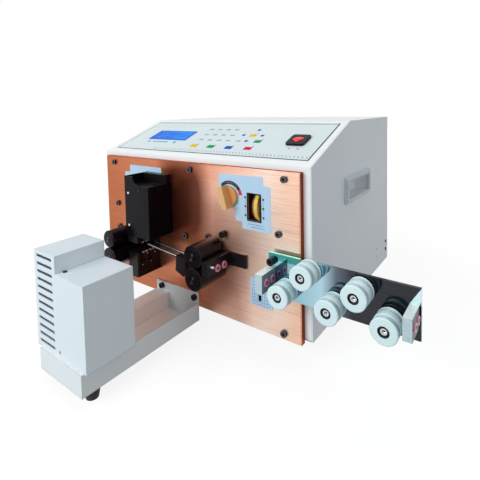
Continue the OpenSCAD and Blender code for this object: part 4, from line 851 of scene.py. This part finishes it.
# The dark rim and the darker socket are painted shade.
face = union([radius < BOLT_FACE_R for radius in from_bolts])
socket = union([radius < SOCKET_R for radius in from_bolts])
turned = face.blend(hue("33373c"), hue("d6dadd"))
shoulder.set("Base Color", socket.blend(turned, hue("15161a")))
shoulder.set("Roughness", 0.2 + 0.12 * shoulder.place.noise(300))
shoulder.relief(shoulder.place.noise(1500), 0.00002, 0.0004)
shoulder.wear("roller_bolts")

# The stepper motors have black enamelled stacks between cast end bells, and the control board
# is green laminate with a woven texture.
enamel = Finish("motor_black", Metallic=0.3)
stack = enamel.place.noise(1.0, (10, 1800, 10))
enamel.set("Base Color", stack.blend(hue("1c1c21"), hue("34343a")))
enamel.set("Roughness", 0.45 + 0.2 * stack)
enamel.relief(stack, 0.00006, 0.001)
enamel.wear("feed_motors", "cutter_motor", "twister_motor")
laminate = Finish("circuit_green", Roughness=0.35, Coat_Weight=0.3)
weave = laminate.place.node("TexChecker", (), {"Vector": laminate.place, "Scale": 900.0}, 1)
tracks = laminate.place.noise(60, (1, 1, 4)) > 0.56
green = (0.2 * weave).blend(hue("14532d"), hue("1d6a3c"))
laminate.set("Base Color", (0.5 * tracks).blend(green, hue("6fae78")))
laminate.relief(weave, 0.00002, 0.0004)
laminate.wear("control_board")


# The knob's label is a light blue film that covers the plate round the knob and the thumbwheel.
# A black scale with a red end runs over the knob, dots and ticks mark the wheel's two sides, and
# two rows of dashes stand for notes.
def label(name, outline, rounding, thickness=0.0003):
    """A film cut to an outline in millimetres on the front plate, with rounded corners."""
    curve = bpy.data.curves.new(name, "CURVE")
    curve.dimensions = "2D"
    curve.fill_mode = "BOTH"
    line = curve.splines.new("POLY")
    line.points.add(len(outline) - 1)
    for point, (x, z) in zip(line.points, outline):
        point.co = (corner.x + x / 1000, corner.z + z / 1000, 0, 1)
    line.use_cyclic_u = True
    piece = bpy.data.objects.new(name, curve)
    bpy.context.scene.collection.objects.link(piece)
    bpy.context.view_layer.objects.active = piece
    piece.select_set(True)
    bpy.ops.object.convert(target="MESH")
    bpy.ops.object.mode_set(mode="EDIT")
    bpy.ops.mesh.select_all(action="SELECT")
    bpy.ops.mesh.remove_doubles(threshold=0.00001)
    bpy.ops.mesh.dissolve_limited(angle_limit=0.01)
    bpy.ops.mesh.bevel(offset=rounding, segments=5, affect="VERTICES")
    bpy.ops.mesh.extrude_region_move(TRANSFORM_OT_translate={"value": (0, 0, thickness)})
    bpy.ops.mesh.select_all(action="SELECT")
    bpy.ops.mesh.normals_make_consistent(inside=False)
    bpy.ops.object.mode_set(mode="OBJECT")
    piece.rotation_euler = (math.pi / 2, 0, 0)
    piece.location = (0, plate_low.y, 0)
    bpy.ops.object.transform_apply(location=True, rotation=True, scale=True)
    piece.select_set(False)
    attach(piece, "machine")
    return piece


def on_plate(finish):
    """Millimetres along X and Z from the housing's lower left front corner, as two flows."""
    x, y, z = finish.place.split()
    return (x - corner.x) * 1000, (z - corner.z) * 1000


def punch(piece, x0, x1, z0, z1):
    """Cuts a window through a film."""
    die = begin("die", "cube", spot((x0 + x1) / 2, -10, (z0 + z1) / 2),
                Vector((x1 - x0, 4, z1 - z0)) / 1000)
    opening = piece.modifiers.new("opening", "BOOLEAN")
    opening.object = die
    bpy.context.view_layer.objects.active = piece
    bpy.ops.object.modifier_apply(modifier=opening.name)
    bpy.data.objects.remove(die)


KNOB_LABEL = ((292.5, 216), (371.5, 217.9), (371.5, 205.5), (383.5, 204.8), (383.5, 139.8),
              (335, 139.8), (335, 150), (323, 150), (323, 168.6), (292.5, 168.6))
WINDOW = (345.4, 366.9, 154, 192)
KNOB_X, KNOB_Z = 313, 184.5
SCALE_R = 20.2
MARK_X = (341.0, 371.6)
MARK_Z = 173
DOT_STEP = 13.0
DOT_R = 1.5
knob_label = label("knob_label", KNOB_LABEL, 0.002)
punch(knob_label, *WINDOW)
print_blue = Finish("label_print", Roughness=0.36)
x, z = on_plate(print_blue)
reach = (x - KNOB_X).hypot(z - KNOB_Z)
angle = (z - KNOB_Z).math("ARCTAN2", x - KNOB_X)
scale = reach.near(SCALE_R, 2.7) * angle.near(1.45, 0.95)
red_end = reach.near(SCALE_R, 2.9) * angle.near(0.36, 0.2)
figures = reach.near(SCALE_R, 0.6) * (((angle * 6.0) % 1.0) < 0.25) * angle.near(1.3, 0.55)
rise = (z - (MARK_Z - DOT_STEP)) % DOT_STEP
dot_rows = rise.near(0.0, DOT_R).or_(rise > DOT_STEP - DOT_R) * z.near(MARK_Z, 15)
dots = union([x.near(side, DOT_R) for side in MARK_X]) * dot_rows
ticks = union([x.near(side, 0.6) for side in MARK_X]) * ((z % 2.2) < 1.0) * z.near(MARK_Z, 13)
ink = print_blue.place.noise(60).blend(hue("bedcf3"), hue("b3d4ed"))
ink = scale.blend(ink, hue("15162c"))
ink = (0.6 * figures).blend(ink, hue("e8e8f4"))
ink = red_end.blend(ink, hue("e01c3e"))
notes = z.near(148.2, 0.8).or_(z.near(144.4, 0.8)) * x.near(358, 15)
notes = notes * (print_blue.place.noise(620) > 0.47)
ink = (0.6 * notes).blend(ink, hue("4b6078"))
print_blue.set("Base Color", (0.95 * dots.or_(0.6 * ticks)).blend(ink, hue("0c1a2c")))
print_blue.relief(print_blue.place.noise(1200), 0.00002)
print_blue.wear(knob_label)

# Two more films are on the plate: one behind the cutter's cover, and one low down with a ruled
# scale round the slot for the wire size.
CUTTER_LABEL = ((83, 214.8), (166, 214.8), (166, 180), (68.3, 180), (68.3, 201.7), (83, 201.7))
SCALE_LABEL = ((346.8, 71.2), (385, 71.2), (385, 31.3), (346.8, 31.3))
SIZE_SLOT = (WIDTH * 0.82 + 0.1, WIDTH * 0.82 + 4.9, 39.1, 47.9)
GRID_X, GRID_Z, GRID_STEP = 364, 33, 4.6
POST_X, POST_Z, POST_STEP = 350, 44, 4.2
cutter_label = label("cutter_label", CUTTER_LABEL, 0.0015)
scale_label = label("scale_label", SCALE_LABEL, 0.0025)
punch(scale_label, *SIZE_SLOT)
ruled = Finish("scale_print", Roughness=0.36)
x, z = on_plate(ruled)
grid = ((z - GRID_Z) % GRID_STEP < 0.8) * x.near(GRID_X, 13)
posts = ((x - POST_X) % POST_STEP < 0.7) * z.near(POST_Z, 11)
ink = ruled.place.noise(60).blend(hue("bedcf3"), hue("b3d4ed"))
ruled.set("Base Color", (0.55 * grid.or_(posts)).blend(ink, hue("23486b")))
ruled.relief(ruled.place.noise(1200), 0.00002)
ruled.wear(scale_label, cutter_label)

# A black moulded bezel frames the thumbwheel's window and stands a little proud of the label.
BEZEL_Y = -10.85
BEZEL_OVER = 2.4
reveal = begin("window_bezel", "cube",
               spot((WINDOW[0] + WINDOW[1]) / 2, BEZEL_Y, (WINDOW[2] + WINDOW[3]) / 2),
               Vector((WINDOW[1] - WINDOW[0] + BEZEL_OVER, 1.0,
                       WINDOW[3] - WINDOW[2] + BEZEL_OVER)) / 1000)
pick(reveal, lambda at, normal: abs(normal.y) > 0.9)
bpy.ops.mesh.inset(thickness=0.0013)
bpy.ops.mesh.bridge_edge_loops()
complete(reveal, "machine", bezel, 0.0002)


# The studio: a white floor that keeps a soft shadow, one wide lamp from the front left, one from
# above and a weak one at the right, in a white room.
def rays(tree):
    """1 for camera rays, and 1 for those and for rays off mirrors or through glass."""
    path = tree.nodes.new("ShaderNodeLightPath").outputs
    seen = [Flow(path["Is %s Ray" % kind]) for kind in ("Camera", "Glossy", "Transmission")]
    return seen[0], union(seen)


bpy.ops.mesh.primitive_plane_add(size=12, location=(0, 0, 0))
floor = bpy.context.object
floor.name = "studio_floor"
paper = bpy.data.materials.new("studio_paper")
paper.use_nodes = True
tree = paper.node_tree
tree.nodes.clear()
camera_ray, straight = rays(tree)
matt = straight.node("BsdfDiffuse", (), {"Color": camera_ray * 0.5 + 0.4})
lit = straight.node("Emission", (), {"Strength": 1.1})
at = straight.node("TexCoord", output="Object").split()
away = at[0].hypot(at[1])
whiteness = away.node("MapRange", (), {"Value": away, "From Min": 0.45, "From Max": 1.1,
                                       "To Min": 0.78, "To Max": 1.0})
surface = straight.node("MixShader", (), {0: whiteness * straight, 1: matt, 2: lit})
output = tree.nodes.new("ShaderNodeOutputMaterial")
tree.links.new(surface.socket, output.inputs[0])
floor.data.materials.append(paper)


def softbox(name, place, target, size, watts, colour=(1, 1, 1)):
    lamp = bpy.data.lights.new(name, "AREA")
    lamp.shape = "RECTANGLE"
    lamp.size, lamp.size_y = size
    lamp.energy = watts
    lamp.color = colour
    thing = bpy.data.objects.new(name, lamp)
    bpy.context.scene.collection.objects.link(thing)
    thing.location = place
    aim = Vector(target) - Vector(place)
    thing.rotation_euler = aim.to_track_quat("-Z", "Y").to_euler()


softbox("key", (-0.7, -2.4, 1.25), (0, 0, 0.15), (1.8, 1.4), 49, (0.96, 0.99, 1.0))
softbox("top", (0.1, 0.2, 2.2), (0, 0, 0.2), (2.0, 1.6), 11)
softbox("right", (2.2, -0.4, 0.9), (0, 0, 0.15), (1.2, 1.2), 6)

world = bpy.data.worlds.new("studio_room")
bpy.context.scene.world = world
world.use_nodes = True
tree = world.node_tree
tree.nodes.clear()
straight = rays(tree)[1]
room = straight.node("Background", (), {"Color": (0.92, 0.96, 1.0, 1), "Strength": 0.31})
white = straight.node("Background", (), {"Color": (1, 1, 1, 1), "Strength": 1.0})
surface = straight.node("MixShader", (), {0: straight, 1: room, 2: white})
output = tree.nodes.new("ShaderNodeOutputWorld")
tree.links.new(surface.socket, output.inputs[0])

bpy.context.scene.view_settings.view_transform = "Standard"
